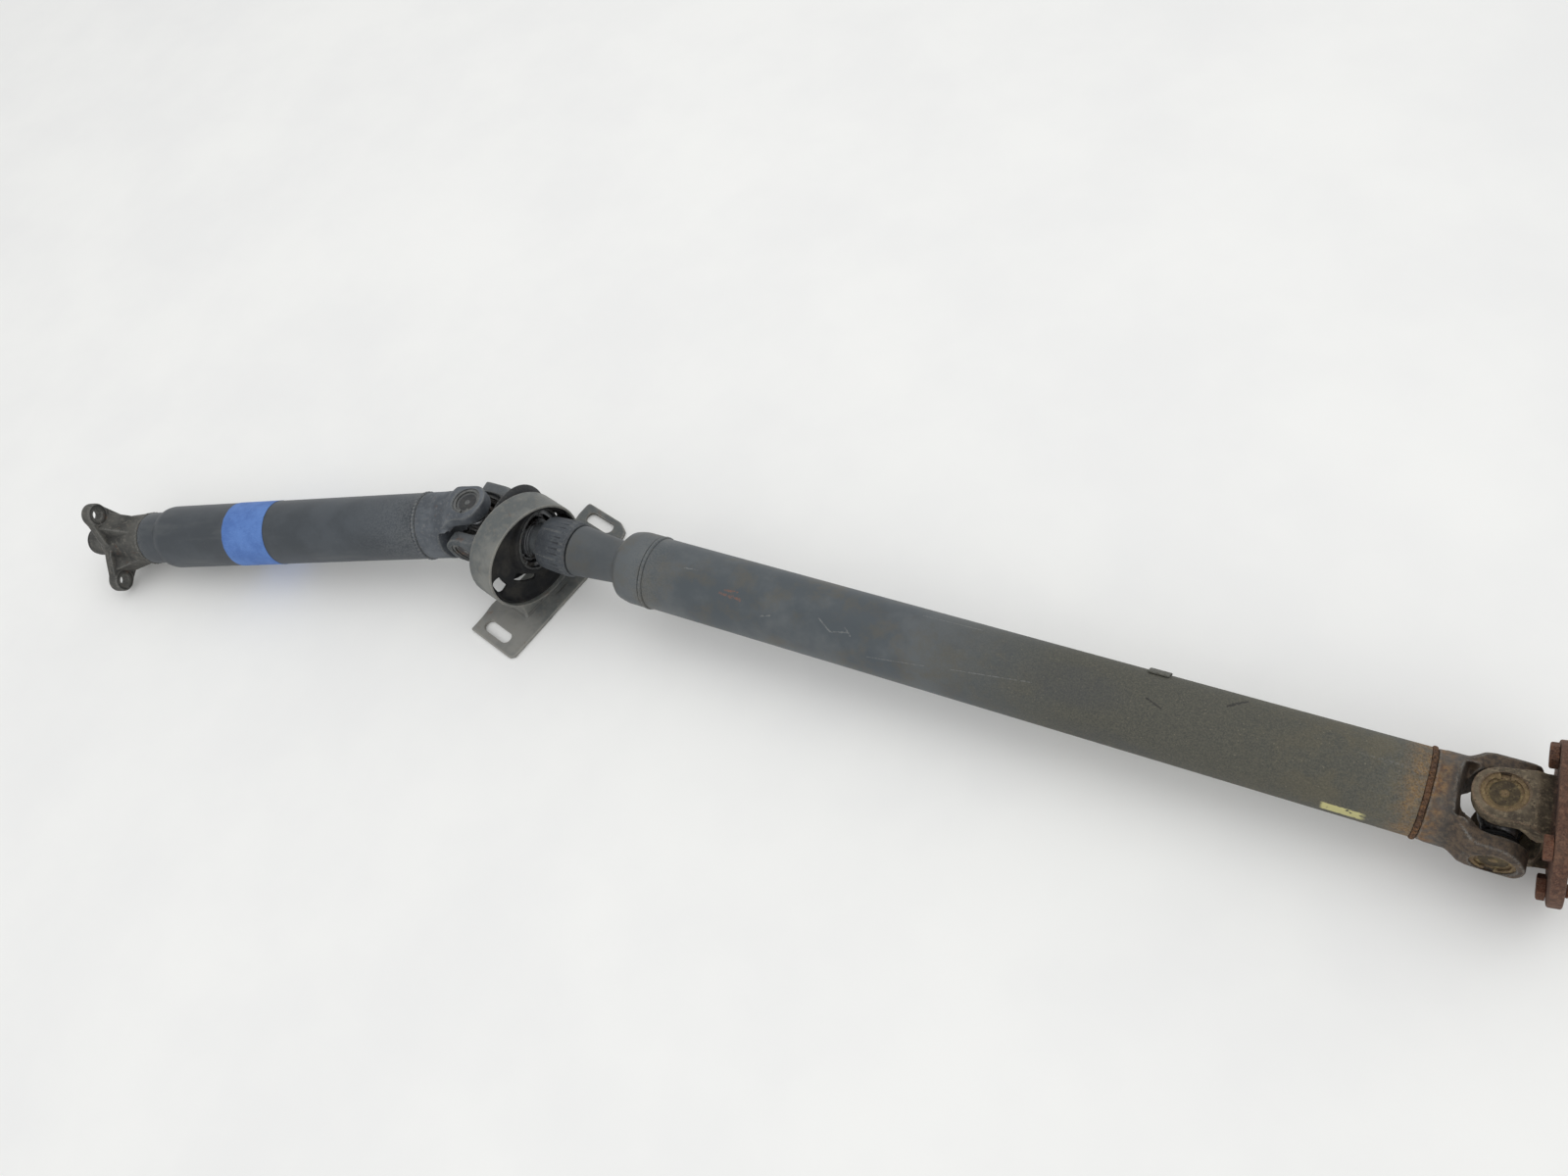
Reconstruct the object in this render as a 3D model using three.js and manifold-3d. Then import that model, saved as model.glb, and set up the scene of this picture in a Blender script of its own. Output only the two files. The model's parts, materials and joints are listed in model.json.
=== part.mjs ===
// Two-piece universal joint shaft for a vehicle driveline.
// Millimetres, +Z up. The rear section lies along +X. The front section is bent
// away from it at the centre joint. The origin is the bottom centre of the whole shaft.
import * as THREE from "three";
import { mergeVertices } from "three/addons/utils/BufferGeometryUtils.js";
import Module from "manifold-3d";

const wasm = await Module();
wasm.setup();

// ---------------------------------------------------------------- dimensions
const GAP = 0.3; // clearance between neighbouring pieces

// Layout of the two sections
const AXIS_HEIGHT = 60; // centre joint above the bracket's seating face
const BEND_PLAN = 16.1; // degrees between the sections, seen from above
const FRONT_DROP = 3.5; // degrees the front section falls away
const REAR_JOINT_X = 882; // centre joint to rear joint
const FLANGE_PITCH = 10; // rear flange tilted up, degrees
const FLANGE_YAW = 5; // rear flange turned sideways, degrees

// Tubes
const TUBE_R = 32.5;
const TUBE_WALL = 2.2;
const NECK_R = 27; // reduced front end of the front tube
const FRONT_WELD = 60; // bead between front tube and its yoke
const FRONT_SHOULDER = 375;
const FRONT_TUBE_END = 405;
const TAPE_START = 237;
const TAPE_END = 291;

// Flexible-coupling spider at the front end
const SPIDER_BACK = 447;
const SPIDER_THICK = 10;
const SPIDER_ARM_R = 44; // bolt circle radius
const SPIDER_BOSS_R = 12;
const SPIDER_HOLE_R = 5.25;
const HUB_FRONT = 483;
const PILOT_R = 11;

// Cross joints (both the same size)
const EAR_INNER = 24;
const EAR_OUTER = 38;
const EAR_R = 19.5;
const EAR_ROUND_R = 39.6; // forged rounding of the ears about the shaft axis
const CUP_R = 14;
const CUP_BORE_R = 14.3;
const TRUNNION_R = 8.6;
const YOKE_BASE = 29;

// Sliding splines
const SPLINE_TEETH = 12;
const SPLINE_R_OUT = 11.2;
const SPLINE_R_IN = 9.6;

// Centre bearing and bracket
const BEARING_X = 57;
const BEARING_HALF = 6.5;
const BRACKET_YAW = -15; // degrees
const HOOP_R_IN = 51.4;
const HOOP_R_OUT = 54;
const HOOP_FRONT = -14;
const HOOP_REAR = 16;
const HOOP_SIDE = -13; // the worn rubber lets the hoop sit off the shaft axis
const HOOP_DROP = HOOP_R_OUT + 0.6 - AXIS_HEIGHT;
const PLATE_T = 3.5;
const SLOT_W = 12;
const SLOT_L = 36;

// Rear section
const NUT_FRONT = 76;
const NUT_REAR = 112;
const STUB_SHOULDER = 163;
const STEP_RING = 200;
const REAR_WELD = 832.5;
const FLANGE_FACE = 29.5; // joint centre to the near face of the rear flange
const FLANGE_T = 9;
const FLANGE_R = 56;
const FLANGE_PCD_R = 47;
const BOLT_HEAD_R = 9.2;
const BOLT_HEAD_T = 5.6;

// ---------------------------------------------------------------- materials
const look = (color, roughness, metalness) =>
  new THREE.MeshStandardMaterial({ color, roughness, metalness });
const LOOK = {
  tube: () => look(0x4c525a, 0.55, 0.35),
  forged: () => look(0x565659, 0.6, 0.4),
  rust: () => look(0x5a4238, 0.8, 0.25),
  bracket: () => look(0x6e6c64, 0.6, 0.45),
  steel: () => look(0x8c8f94, 0.35, 0.9),
  rubber: () => look(0x26282b, 0.9, 0.0),
  tape: () => look(0x5a86d8, 0.7, 0.0),
  bronze: () => look(0x9a7444, 0.45, 0.9),
};

// ---------------------------------------------------------------- geometry helpers
// Keep only position and index, drop zero-area triangles and face outwards.
function closed(geometry) {
  const bare = geometry.clone();
  for (const name of Object.keys(bare.attributes))
    if (name !== "position") bare.deleteAttribute(name);
  const merged = mergeVertices(bare, 1e-4);
  const p = merged.attributes.position;
  const a = new THREE.Vector3(), b = new THREE.Vector3(), c = new THREE.Vector3();
  const kept = [];
  let volume = 0;
  for (let i = 0; i < merged.index.count; i += 3) {
    const [i0, i1, i2] = [0, 1, 2].map((k) => merged.index.getX(i + k));
    if (i0 === i1 || i1 === i2 || i0 === i2) continue;
    kept.push(i0, i1, i2);
    a.fromBufferAttribute(p, i0); b.fromBufferAttribute(p, i1); c.fromBufferAttribute(p, i2);
    volume += a.dot(b.cross(c)) / 6;
  }
  if (volume < 0)
    for (let i = 0; i < kept.length; i += 3) [kept[i], kept[i + 1]] = [kept[i + 1], kept[i]];
  merged.setIndex(kept);
  return merged;
}

const solid = (geometry) => {
  const g = closed(geometry);
  return new wasm.Manifold(new wasm.Mesh({
    numProp: 3,
    vertProperties: new Float32Array(g.attributes.position.array),
    triVerts: new Uint32Array(g.index.array),
  }));
};

function shell(manifold) {
  const m = manifold.getMesh();
  const g = new THREE.BufferGeometry();
  g.setAttribute("position", new THREE.Float32BufferAttribute(m.vertProperties, 3));
  g.setIndex(Array.from(m.triVerts));
  return g;
}

const join = (first, ...rest) => shell(rest.reduce((s, g) => s.add(solid(g)), solid(first)));
const cut = (first, ...rest) => shell(rest.reduce((s, g) => s.subtract(solid(g)), solid(first)));

// Body of revolution about +X from [x, r] pairs.
function turned(profile, segments = 20) {
  const pts = profile.map(([x, r]) => new THREE.Vector2(r, x));
  if (profile[0][1] > 0) pts.push(pts[0].clone());
  return new THREE.LatheGeometry(pts, segments).rotateZ(-Math.PI / 2);
}
const rod = (x0, x1, r, segments = 16) => turned([[x0, 0], [x0, r], [x1, r], [x1, 0]], segments);
const ring = (x0, x1, rIn, rOut, segments = 20) =>
  turned([[x0, rIn], [x0, rOut], [x1, rOut], [x1, rIn]], segments);

// Plate from a shape in the YZ plane, pushed along +X.
const across = (shape, x0, depth, curveSegments = 7) =>
  new THREE.ExtrudeGeometry(shape, { depth, bevelEnabled: false, curveSegments })
    .applyMatrix4(new THREE.Matrix4().makeBasis(
      new THREE.Vector3(0, 1, 0), new THREE.Vector3(0, 0, 1), new THREE.Vector3(1, 0, 0)))
    .translate(x0, 0, 0);

function gear(teeth, rOut, rIn, grow = 0) {
  const s = new THREE.Shape();
  for (let i = 0; i < teeth; i++) {
    const t = (i / teeth) * Math.PI * 2, w = Math.PI / teeth;
    const g = grow / rOut;
    for (const [k, r] of [[-0.62 * w, rIn], [-0.36 * w - g, rOut], [0.36 * w + g, rOut], [0.62 * w, rIn]]) {
      const a = t + k, q = r + grow;
      i === 0 && k < -0.5 * w ? s.moveTo(q * Math.cos(a), q * Math.sin(a)) : s.lineTo(q * Math.cos(a), q * Math.sin(a));
    }
  }
  return s;
}

const root = new THREE.Group();
const add = (group, name, geometry, material, place = {}) => {
  const g = closed(geometry);
  g.computeVertexNormals();
  const mesh = new THREE.Mesh(g, material);
  mesh.name = name;
  if (place.position) mesh.position.set(...place.position);
  if (place.rotation) mesh.rotation.set(...place.rotation);
  group.add(mesh);
  return mesh;
};
const RAD = Math.PI / 180;

// ---------------------------------------------------------------- joint pieces
// Ears of a yoke on +Z and -Z. The yoke's body is on the +X side, and the ears reach
// back to the joint centre at the origin.
function ears(reach) {
  const out = [];
  const envelope = turned([
    [-30, 0], [-30, EAR_ROUND_R], [15, EAR_ROUND_R], [21, EAR_ROUND_R - 2], [27, TUBE_R + 0.4], [60, TUBE_R + 0.4], [60, 0],
  ], 24);
  for (const side of [1, -1]) {
    const s = new THREE.Shape();
    s.moveTo(reach, -EAR_R - 3);
    s.lineTo(reach, EAR_R + 3);
    s.lineTo(12, EAR_R);
    s.lineTo(0, EAR_R);
    s.absarc(0, 0, EAR_R, Math.PI / 2, Math.PI * 1.5, false);
    s.lineTo(12, -EAR_R);
    const bevel = 1.8;
    const g = new THREE.ExtrudeGeometry(s, {
      depth: EAR_OUTER - EAR_INNER - 2 * bevel, bevelEnabled: true, bevelThickness: bevel,
      bevelSize: bevel, bevelOffset: -bevel, bevelSegments: 1, curveSegments: 7,
    });
    g.translate(0, 0, EAR_INNER + bevel);
    if (side < 0) g.rotateX(Math.PI);
    out.push(shell(solid(g).intersect(solid(envelope))));
  }
  return out;
}
const boreZ = (r) => rod(-60, 60, r, 16).rotateY(Math.PI / 2);

// Closed bearing cup along +X, open end towards the joint centre.
const cup = () => turned([
  [EAR_INNER - 2.5, TRUNNION_R + GAP], [EAR_INNER - 2.5, CUP_R], [EAR_OUTER - 4, CUP_R],
  [EAR_OUTER - 3.2, CUP_R - 1], [EAR_OUTER - 3.2, 0],
  [EAR_OUTER - 5.4, 0], [EAR_OUTER - 5.4, TRUNNION_R + GAP],
], 16);

// Snap ring that holds a cup, with its open gap.
function snapRing() {
  const s = new THREE.Shape();
  s.absarc(0, 0, CUP_R, 12 * RAD, 348 * RAD, false);
  s.absarc(0, 0, CUP_R - 3, 348 * RAD, 12 * RAD, true);
  return across(s, EAR_OUTER - 2.8, 1.2, 7);
}
// Rubber lip seal at the root of a trunnion.
const lipSeal = () => turned([
  [16.6, TRUNNION_R + 0.9], [16.6, 12], [18.4, 13.2], [EAR_INNER - 2.9, 13.2], [EAR_INNER - 2.9, TRUNNION_R + 0.9],
], 12);

function cross() {
  const body = new THREE.SphereGeometry(15.5, 12, 8);
  const arms = [0, 1].flatMap((k) => {
    const shaft = rod(-(EAR_OUTER - 5.8), EAR_OUTER - 5.8, TRUNNION_R, 14);
    const shoulder = rod(-16.2, 16.2, 11.5, 14);
    return k ? [shaft.rotateZ(Math.PI / 2), shoulder.rotateZ(Math.PI / 2)]
             : [shaft.rotateY(Math.PI / 2), shoulder.rotateY(Math.PI / 2)];
  });
  return join(body, ...arms);
}

const DIRS = { top: [0, -Math.PI / 2, 0], bottom: [0, Math.PI / 2, 0], left: [0, 0, Math.PI / 2], right: [0, 0, -Math.PI / 2] };
function cupSet(group, prefix, sides) {
  for (const side of sides) {
    add(group, `${prefix}_cup_${side}`, cup(), LOOK.forged(), { rotation: DIRS[side] });
    add(group, `${prefix}_ring_${side}`, snapRing(), LOOK.steel(), { rotation: DIRS[side] });
  }
}
function sealSet(group, prefix) {
  for (const side of Object.keys(DIRS))
    add(group, `${prefix}_seal_${side}`, lipSeal(), LOOK.rubber(), { rotation: DIRS[side] });
}

// ---------------------------------------------------------------- centre joint frame
const centre = new THREE.Group();
centre.position.set(0, 0, AXIS_HEIGHT);
root.add(centre);

// Direction of the front section, and the vertical pin axis square to it and to Y.
const az = (180 + BEND_PLAN) * RAD, drop = FRONT_DROP * RAD;
const frontDir = new THREE.Vector3(Math.cos(az) * Math.cos(drop), Math.sin(az) * Math.cos(drop), -Math.sin(drop));
const pinUp = new THREE.Vector3(0, 1, 0).cross(frontDir).normalize();
if (pinUp.z < 0) pinUp.negate();
const frontSide = pinUp.clone().cross(frontDir);

// ---------------------------------------------------------------- front section
const front = new THREE.Group();
front.quaternion.setFromRotationMatrix(new THREE.Matrix4().makeBasis(frontDir, frontSide, pinUp));
centre.add(front);

// Yoke welded to the tube
const tubeYoke = (weld) => {
  const bodyG = turned([
    [YOKE_BASE, 0], [YOKE_BASE, 20], [YOKE_BASE + 2, TUBE_R - 4], [YOKE_BASE + 7, TUBE_R], [weld - 2, TUBE_R],
    [weld - 2, TUBE_R - TUBE_WALL - 3], [weld + 10, TUBE_R - TUBE_WALL - GAP - 0.2], [weld + 10, 24],
    [YOKE_BASE + 8, 22], [YOKE_BASE + 8, 0],
  ]);
  return shell(solid(join(bodyG, ...ears(YOKE_BASE + 8))).subtract(solid(boreZ(CUP_BORE_R))));
};
add(front, "front_tube_yoke", tubeYoke(FRONT_WELD), LOOK.forged());
cupSet(front, "front_yoke", ["top", "bottom"]);

add(front, "front_weld_bead", ring(FRONT_WELD - 1.7, FRONT_WELD + 1.7, TUBE_R - 1.6, TUBE_R + 1.2), LOOK.forged());
add(front, "front_tube", turned([
  [FRONT_WELD + 2, TUBE_R - TUBE_WALL], [FRONT_WELD + 2, TUBE_R], [FRONT_SHOULDER - 1, TUBE_R],
  [FRONT_SHOULDER + 3, TUBE_R - 1.2], [FRONT_SHOULDER + 6, TUBE_R - 3.6], [FRONT_SHOULDER + 8, NECK_R],
  [FRONT_TUBE_END, NECK_R], [FRONT_TUBE_END, NECK_R - TUBE_WALL],
  [FRONT_SHOULDER + 6, NECK_R - TUBE_WALL], [FRONT_SHOULDER + 3, TUBE_R - 5], [FRONT_SHOULDER - 2, TUBE_R - TUBE_WALL],
]), LOOK.tube());
add(front, "tape_band", ring(TAPE_START, TAPE_END, TUBE_R + GAP, TUBE_R + GAP + 0.4), LOOK.tape());
add(front, "front_neck_weld", ring(FRONT_TUBE_END + 0.3, FRONT_TUBE_END + 2.7, NECK_R - 1.5, NECK_R + 0.8), LOOK.forged());

// Three-arm spider: turned hub, tapered arms, round bosses and bolt holes
const spiderAngles = [92, 212, 332];
const spider = () => {
  const hub = turned([
    [FRONT_TUBE_END + 3, 0], [FRONT_TUBE_END + 3, NECK_R - 0.6], [FRONT_TUBE_END + 14, NECK_R - 1],
    [SPIDER_BACK - 12, 23], [SPIDER_BACK + SPIDER_THICK + 4, 22], [SPIDER_BACK + SPIDER_THICK + 7, 16.5],
    [HUB_FRONT, 15.5], [HUB_FRONT, 0],
  ]);
  const pieces = [hub];
  for (const deg of spiderAngles) {
    const s = new THREE.Shape();
    s.moveTo(0, -21); s.lineTo(20, -19); s.lineTo(SPIDER_ARM_R, -SPIDER_BOSS_R);
    s.absarc(SPIDER_ARM_R, 0, SPIDER_BOSS_R, -Math.PI / 2, Math.PI / 2, false);
    s.lineTo(20, 19); s.lineTo(0, 21);
    const arm = across(s, SPIDER_BACK + 1, SPIDER_THICK - 2, 12).rotateX(deg * RAD);
    const c = [SPIDER_ARM_R * Math.cos(deg * RAD), SPIDER_ARM_R * Math.sin(deg * RAD)];
    const boss = rod(SPIDER_BACK, SPIDER_BACK + SPIDER_THICK, SPIDER_BOSS_R - 1, 16).translate(0, c[0], c[1]);
    // Sloping web between the neck and the arm
    const web = new THREE.Shape();
    web.moveTo(FRONT_TUBE_END + 10, 0); web.lineTo(FRONT_TUBE_END + 10, NECK_R - 3);
    web.lineTo(SPIDER_BACK + 3, SPIDER_ARM_R - 10); web.lineTo(SPIDER_BACK + 3, 0);
    const rib = new THREE.ExtrudeGeometry(web, { depth: 22, bevelEnabled: false }).translate(0, 0, -11)
      .rotateX(deg * RAD);
    pieces.push(arm, boss, rib);
  }
  const holes = spiderAngles.map((deg) => rod(SPIDER_BACK - 20, HUB_FRONT, SPIDER_HOLE_R, 10)
    .translate(0, SPIDER_ARM_R * Math.cos(deg * RAD), SPIDER_ARM_R * Math.sin(deg * RAD)));
  const bore = rod(HUB_FRONT - 26, HUB_FRONT + 5, PILOT_R + 2.8, 20);
  return cut(join(...pieces), bore, ...holes);
};
add(front, "front_spider_flange", spider(), LOOK.forged());
add(front, "pilot_bush", turned([
  [HUB_FRONT - 25, PILOT_R], [HUB_FRONT - 25, PILOT_R + 2.5], [HUB_FRONT - 4, PILOT_R + 2.5], [HUB_FRONT - 4, PILOT_R],
  [HUB_FRONT - 8, PILOT_R - 1], [HUB_FRONT - 21, PILOT_R - 1],
], 20), LOOK.bronze());
add(front, "pilot_seal", turned([
  [HUB_FRONT - 3.6, PILOT_R - 0.5], [HUB_FRONT - 3.6, PILOT_R + 2.5], [HUB_FRONT + 0.4, PILOT_R + 2.5],
  [HUB_FRONT + 0.4, 15], [HUB_FRONT + 3, 14.6], [HUB_FRONT + 5, 12.5], [HUB_FRONT + 5, PILOT_R - 2.5], [HUB_FRONT + 2, PILOT_R - 2.5],
], 20), LOOK.rubber());

// ---------------------------------------------------------------- centre cross
const centreCross = new THREE.Group();
centreCross.rotation.y = Math.atan2(pinUp.x, pinUp.z);
centre.add(centreCross);
add(centreCross, "centre_cross", cross(), LOOK.steel());
sealSet(centreCross, "centre");

// ---------------------------------------------------------------- centre yoke with its hollow splined journal
const splineHole = across(gear(SPLINE_TEETH, SPLINE_R_OUT, SPLINE_R_IN, GAP), 58, 60);
const centreYoke = () => {
  const body = turned([
    [YOKE_BASE, 0], [YOKE_BASE, 20], [YOKE_BASE + 1.5, 28], [YOKE_BASE + 4, 32], [42, 32], [43.5, 29], [43.5, 17.5], [BEARING_X - BEARING_HALF - 3, 17.5],
    [BEARING_X - BEARING_HALF - 3, 15], [NUT_FRONT - 4, 15], [NUT_FRONT - 3, 14.4], [NUT_FRONT + 22, 14.4],
    [NUT_FRONT + 22, 0],
  ]);
  const lugs = ears(42).map((g) => g.rotateX(Math.PI / 2));
  const bores = [rod(-60, 60, CUP_BORE_R, 16).rotateZ(Math.PI / 2)];
  return cut(join(body, ...lugs), ...bores, splineHole);
};
add(centre, "centre_yoke", centreYoke(), LOOK.forged());
cupSet(centre, "centre_yoke", ["left", "right"]);
add(centre, "dust_shield", turned([
  [43.9, 17.8], [43.9, 36], [42.4, 41], [38.6, 46], [39.8, 46.8], [43.8, 41.8], [45.4, 36.4], [45.4, 17.8],
]), LOOK.bracket());
add(centre, "bearing_inner_race", turned([
  [BEARING_X - BEARING_HALF, 15.3], [BEARING_X - BEARING_HALF, 19],
  ...[-50, 0, 50].map((a) => [BEARING_X + 3.9 * Math.sin(a * RAD), 21.25 - 3.9 * Math.cos(a * RAD)]),
  [BEARING_X + BEARING_HALF, 19], [BEARING_X + BEARING_HALF, 15.3],
]), LOOK.steel());
add(centre, "bearing_snap_ring", ring(BEARING_X + BEARING_HALF + 0.4, BEARING_X + BEARING_HALF + 2.2, 15.3, 18.4, 20), LOOK.steel());

// Ball cage
const cage = new THREE.Group();
cage.position.set(BEARING_X, 0, 0);
centre.add(cage);
const balls = [];
for (let i = 0; i < 9; i++)
  balls.push(new THREE.SphereGeometry(3.25, 7, 5).translate(0, 21.25, 0).rotateX((i / 9) * Math.PI * 2));
add(cage, "bearing_balls", join(ring(-1.6, 1.6, 20.3, 22.2), ...balls), LOOK.steel());

// ---------------------------------------------------------------- support bracket
const bracket = new THREE.Group();
bracket.position.set(BEARING_X, 0, 0);
bracket.rotation.z = 0;
centre.add(bracket);
add(bracket, "bearing_outer_race", turned([
  [-BEARING_HALF, 27.5], [BEARING_HALF, 27.5], [BEARING_HALF, 23.5],
  ...[50, 0, -50].map((a) => [3.9 * Math.sin(a * RAD), 21.25 + 3.9 * Math.cos(a * RAD)]),
  [-BEARING_HALF, 23.5],
]), LOOK.steel());
add(bracket, "bearing_carrier", turned([
  [-BEARING_HALF - 1, 24.6], [-BEARING_HALF - 1, 27.8], [-BEARING_HALF - 0.4, 27.8], [BEARING_HALF + 3, 27.8], [BEARING_HALF + 3, 30],
  [-BEARING_HALF - 2.6, 30], [-BEARING_HALF - 2.6, 24.6],
]), LOOK.bracket());

// Everything outside the bearing carrier is turned a little about the vertical.
const stand = new THREE.Group();
stand.rotation.z = BRACKET_YAW * RAD;
bracket.add(stand);

// Worn rubber ring: a thin web between the hoop and the bearing carrier, stretched to
// one side, with windows through it.
const hoopCentre = [0, HOOP_SIDE, HOOP_DROP];
const arcWindow = (mid, span, r0, r1) => {
  const s = new THREE.Shape();
  s.absarc(0, 0, r1, (mid - span / 2) * RAD, (mid + span / 2) * RAD, false);
  s.absarc(0, 0, r0, (mid + span / 2) * RAD, (mid - span / 2) * RAD, true);
  return across(s, -25, 50, 3);
};
const rubber = () => {
  const web = turned([
    [3, 0], [3, 30], [2.5, 38], [2, 44], [0.5, 47.5], [-6, 49], [-6, HOOP_R_IN - GAP],
    [12, HOOP_R_IN - GAP], [12, 49], [8, 47.5], [6, 44], [5.5, 38], [6.5, 30], [6.5, 0],
  ], 32).translate(...hoopCentre);
  const sleeve = turned([[-7, 30.3], [-7, 33], [9, 34], [9, 30.3]]).rotateZ(-BRACKET_YAW * RAD);
  const bore = rod(-40, 40, 30.3, 20).rotateZ(-BRACKET_YAW * RAD);
  const windows = [
    arcWindow(184, 26, 37, 47).translate(...hoopCentre),
    arcWindow(219, 34, 37, 43.5),
    arcWindow(347, 24, 33.5, 38.2),
  ];
  return cut(join(web, sleeve), bore, ...windows);
};
add(stand, "rubber_mount", rubber(), LOOK.rubber());

add(stand, "bracket_hoop", turned([
  [HOOP_FRONT, HOOP_R_IN], [HOOP_FRONT, HOOP_R_OUT], [HOOP_REAR, HOOP_R_OUT], [HOOP_REAR, HOOP_R_IN],
], 32), LOOK.bracket(), { position: hoopCentre });

const plateShape = () => {
  const outline = [
    [-25, -96.5], [33, -96.5], [37.4, -92.5], [35.6, 64.6], [33, 71], [21, 76.4], [-24, 76.4],
    [-26, 74], [-26, 61], [-23, 44], [-23, -40], [-27, -54], [-27.5, -66], [-25.4, -80],
  ];
  const s = new THREE.Shape(outline.map(([u, v]) => new THREE.Vector2(u, v)));
  for (const [u, v] of [[1.8, -83], [2, 64.3]]) {
    const h = SLOT_L / 2 - SLOT_W / 2, r = SLOT_W / 2;
    const hole = new THREE.Path();
    hole.moveTo(u - h, v - r); hole.lineTo(u + h, v - r);
    hole.absarc(u + h, v, r, -Math.PI / 2, Math.PI / 2, false);
    hole.lineTo(u - h, v + r);
    hole.absarc(u - h, v, r, Math.PI / 2, Math.PI * 1.5, false);
    s.holes.push(hole);
  }
  return new THREE.ExtrudeGeometry(s, { depth: PLATE_T, bevelEnabled: false, curveSegments: 5 });
};
// Fillets that run up both sides of the hoop, and the pocket the hoop sits in
const saddle = () => {
  const s = new THREE.Shape();
  s.moveTo(HOOP_SIDE - 44, 1); s.lineTo(HOOP_SIDE + 44, 1); s.lineTo(HOOP_SIDE + 42, PLATE_T + 1);
  s.lineTo(HOOP_SIDE + 40, 17); s.lineTo(HOOP_SIDE - 40, 17); s.lineTo(HOOP_SIDE - 42, PLATE_T + 1);
  return across(s, HOOP_FRONT - 0.5, HOOP_REAR - HOOP_FRONT + 1);
};
const base = () => cut(
  join(plateShape(), saddle()),
  rod(HOOP_FRONT - 0.6, HOOP_REAR + 0.6, HOOP_R_OUT + GAP, 32).translate(0, HOOP_SIDE, AXIS_HEIGHT + HOOP_DROP),
);
add(stand, "bracket_base", base(), LOOK.bracket(), { position: [0, 0, -AXIS_HEIGHT] });

// ---------------------------------------------------------------- clamp nut
add(centre, "clamp_nut", turned([
  [NUT_FRONT, 14.8], [NUT_FRONT, 21], [NUT_FRONT + 3, 24.6], [NUT_FRONT + 28, 26.2], [NUT_REAR - 2, 26], [NUT_REAR, 24.6],
  [NUT_REAR, 21.5], [NUT_REAR - 4, 20.5], [NUT_FRONT + 24, 20.5], [NUT_FRONT + 24, 14.8],
]), LOOK.forged());
add(centre, "clamp_seal", ring(NUT_FRONT + 24.4, NUT_REAR - 8, 13, 20, 20), LOOK.rubber());

// ---------------------------------------------------------------- rear section
const rear = new THREE.Group();
centre.add(rear);
add(rear, "rear_splined_stub", join(
  turned([
    [NUT_REAR - 7, 0], [NUT_REAR - 7, 19.6], [NUT_REAR + 0.6, 20.2], [NUT_REAR + 1.2, 23.4], [NUT_REAR + 4, 23.6], [STUB_SHOULDER - 6, 19.8],
    [STUB_SHOULDER, 20], [STUB_SHOULDER + 3, 25], [STUB_SHOULDER + 7, 30], [STUB_SHOULDER + 12, TUBE_R],
    [STUB_SHOULDER + 18, TUBE_R + 0.9], [STEP_RING - 2, TUBE_R + 0.9], [STEP_RING - 2, TUBE_R - 3.5],
    [STUB_SHOULDER + 14, 24], [STUB_SHOULDER + 10, 0],
  ]),
  rod(62, NUT_REAR, SPLINE_R_IN - 0.3, 12),
  across(gear(SPLINE_TEETH, SPLINE_R_OUT, SPLINE_R_IN), 62, NUT_FRONT + 18 - 62),
), LOOK.tube());
add(rear, "rear_step_weld", turned([
  [STEP_RING - 1.7, TUBE_R - 2], [STEP_RING - 1.7, TUBE_R + 0.8], [STEP_RING, TUBE_R + 1.7], [STEP_RING + 1.7, TUBE_R + 0.8], [STEP_RING + 1.7, TUBE_R - 2],
]), LOOK.tube());
add(rear, "rear_tube", ring(STEP_RING + 2, REAR_WELD - 2, TUBE_R - TUBE_WALL, TUBE_R), LOOK.tube());
add(rear, "rear_weld_bead", turned([
  [REAR_WELD - 1.7, TUBE_R - 1.6], [REAR_WELD - 1.7, TUBE_R + 0.6], [REAR_WELD, TUBE_R + 1.5], [REAR_WELD + 1.7, TUBE_R + 0.6], [REAR_WELD + 1.7, TUBE_R - 1.6],
]), LOOK.rust());
// Balance plate bent round the tube
{
  const s = new THREE.Shape();
  s.absarc(0, 0, TUBE_R + GAP + 1.6, 18 * RAD, 50 * RAD, false);
  s.absarc(0, 0, TUBE_R + GAP, 50 * RAD, 18 * RAD, true);
  add(rear, "balance_plate", across(s, 634, 16, 8), LOOK.forged());
}
const rearYoke = () => {
  const flip = new THREE.Matrix4().makeRotationZ(Math.PI);
  const g = tubeYoke(REAR_JOINT_X - REAR_WELD).applyMatrix4(flip).rotateX(Math.PI / 2);
  return g.translate(REAR_JOINT_X, 0, 0);
};
add(rear, "rear_tube_yoke", rearYoke(), LOOK.forged());
const rearJoint = new THREE.Group();
rearJoint.position.set(REAR_JOINT_X, 0, 0);
centre.add(rearJoint);
cupSet(rearJoint, "rear_yoke", ["left", "right"]);

const tilt = new THREE.Group();
tilt.rotation.y = -FLANGE_PITCH * RAD;
rearJoint.add(tilt);
add(tilt, "rear_cross", cross(), LOOK.steel());
sealSet(tilt, "rear");

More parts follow.
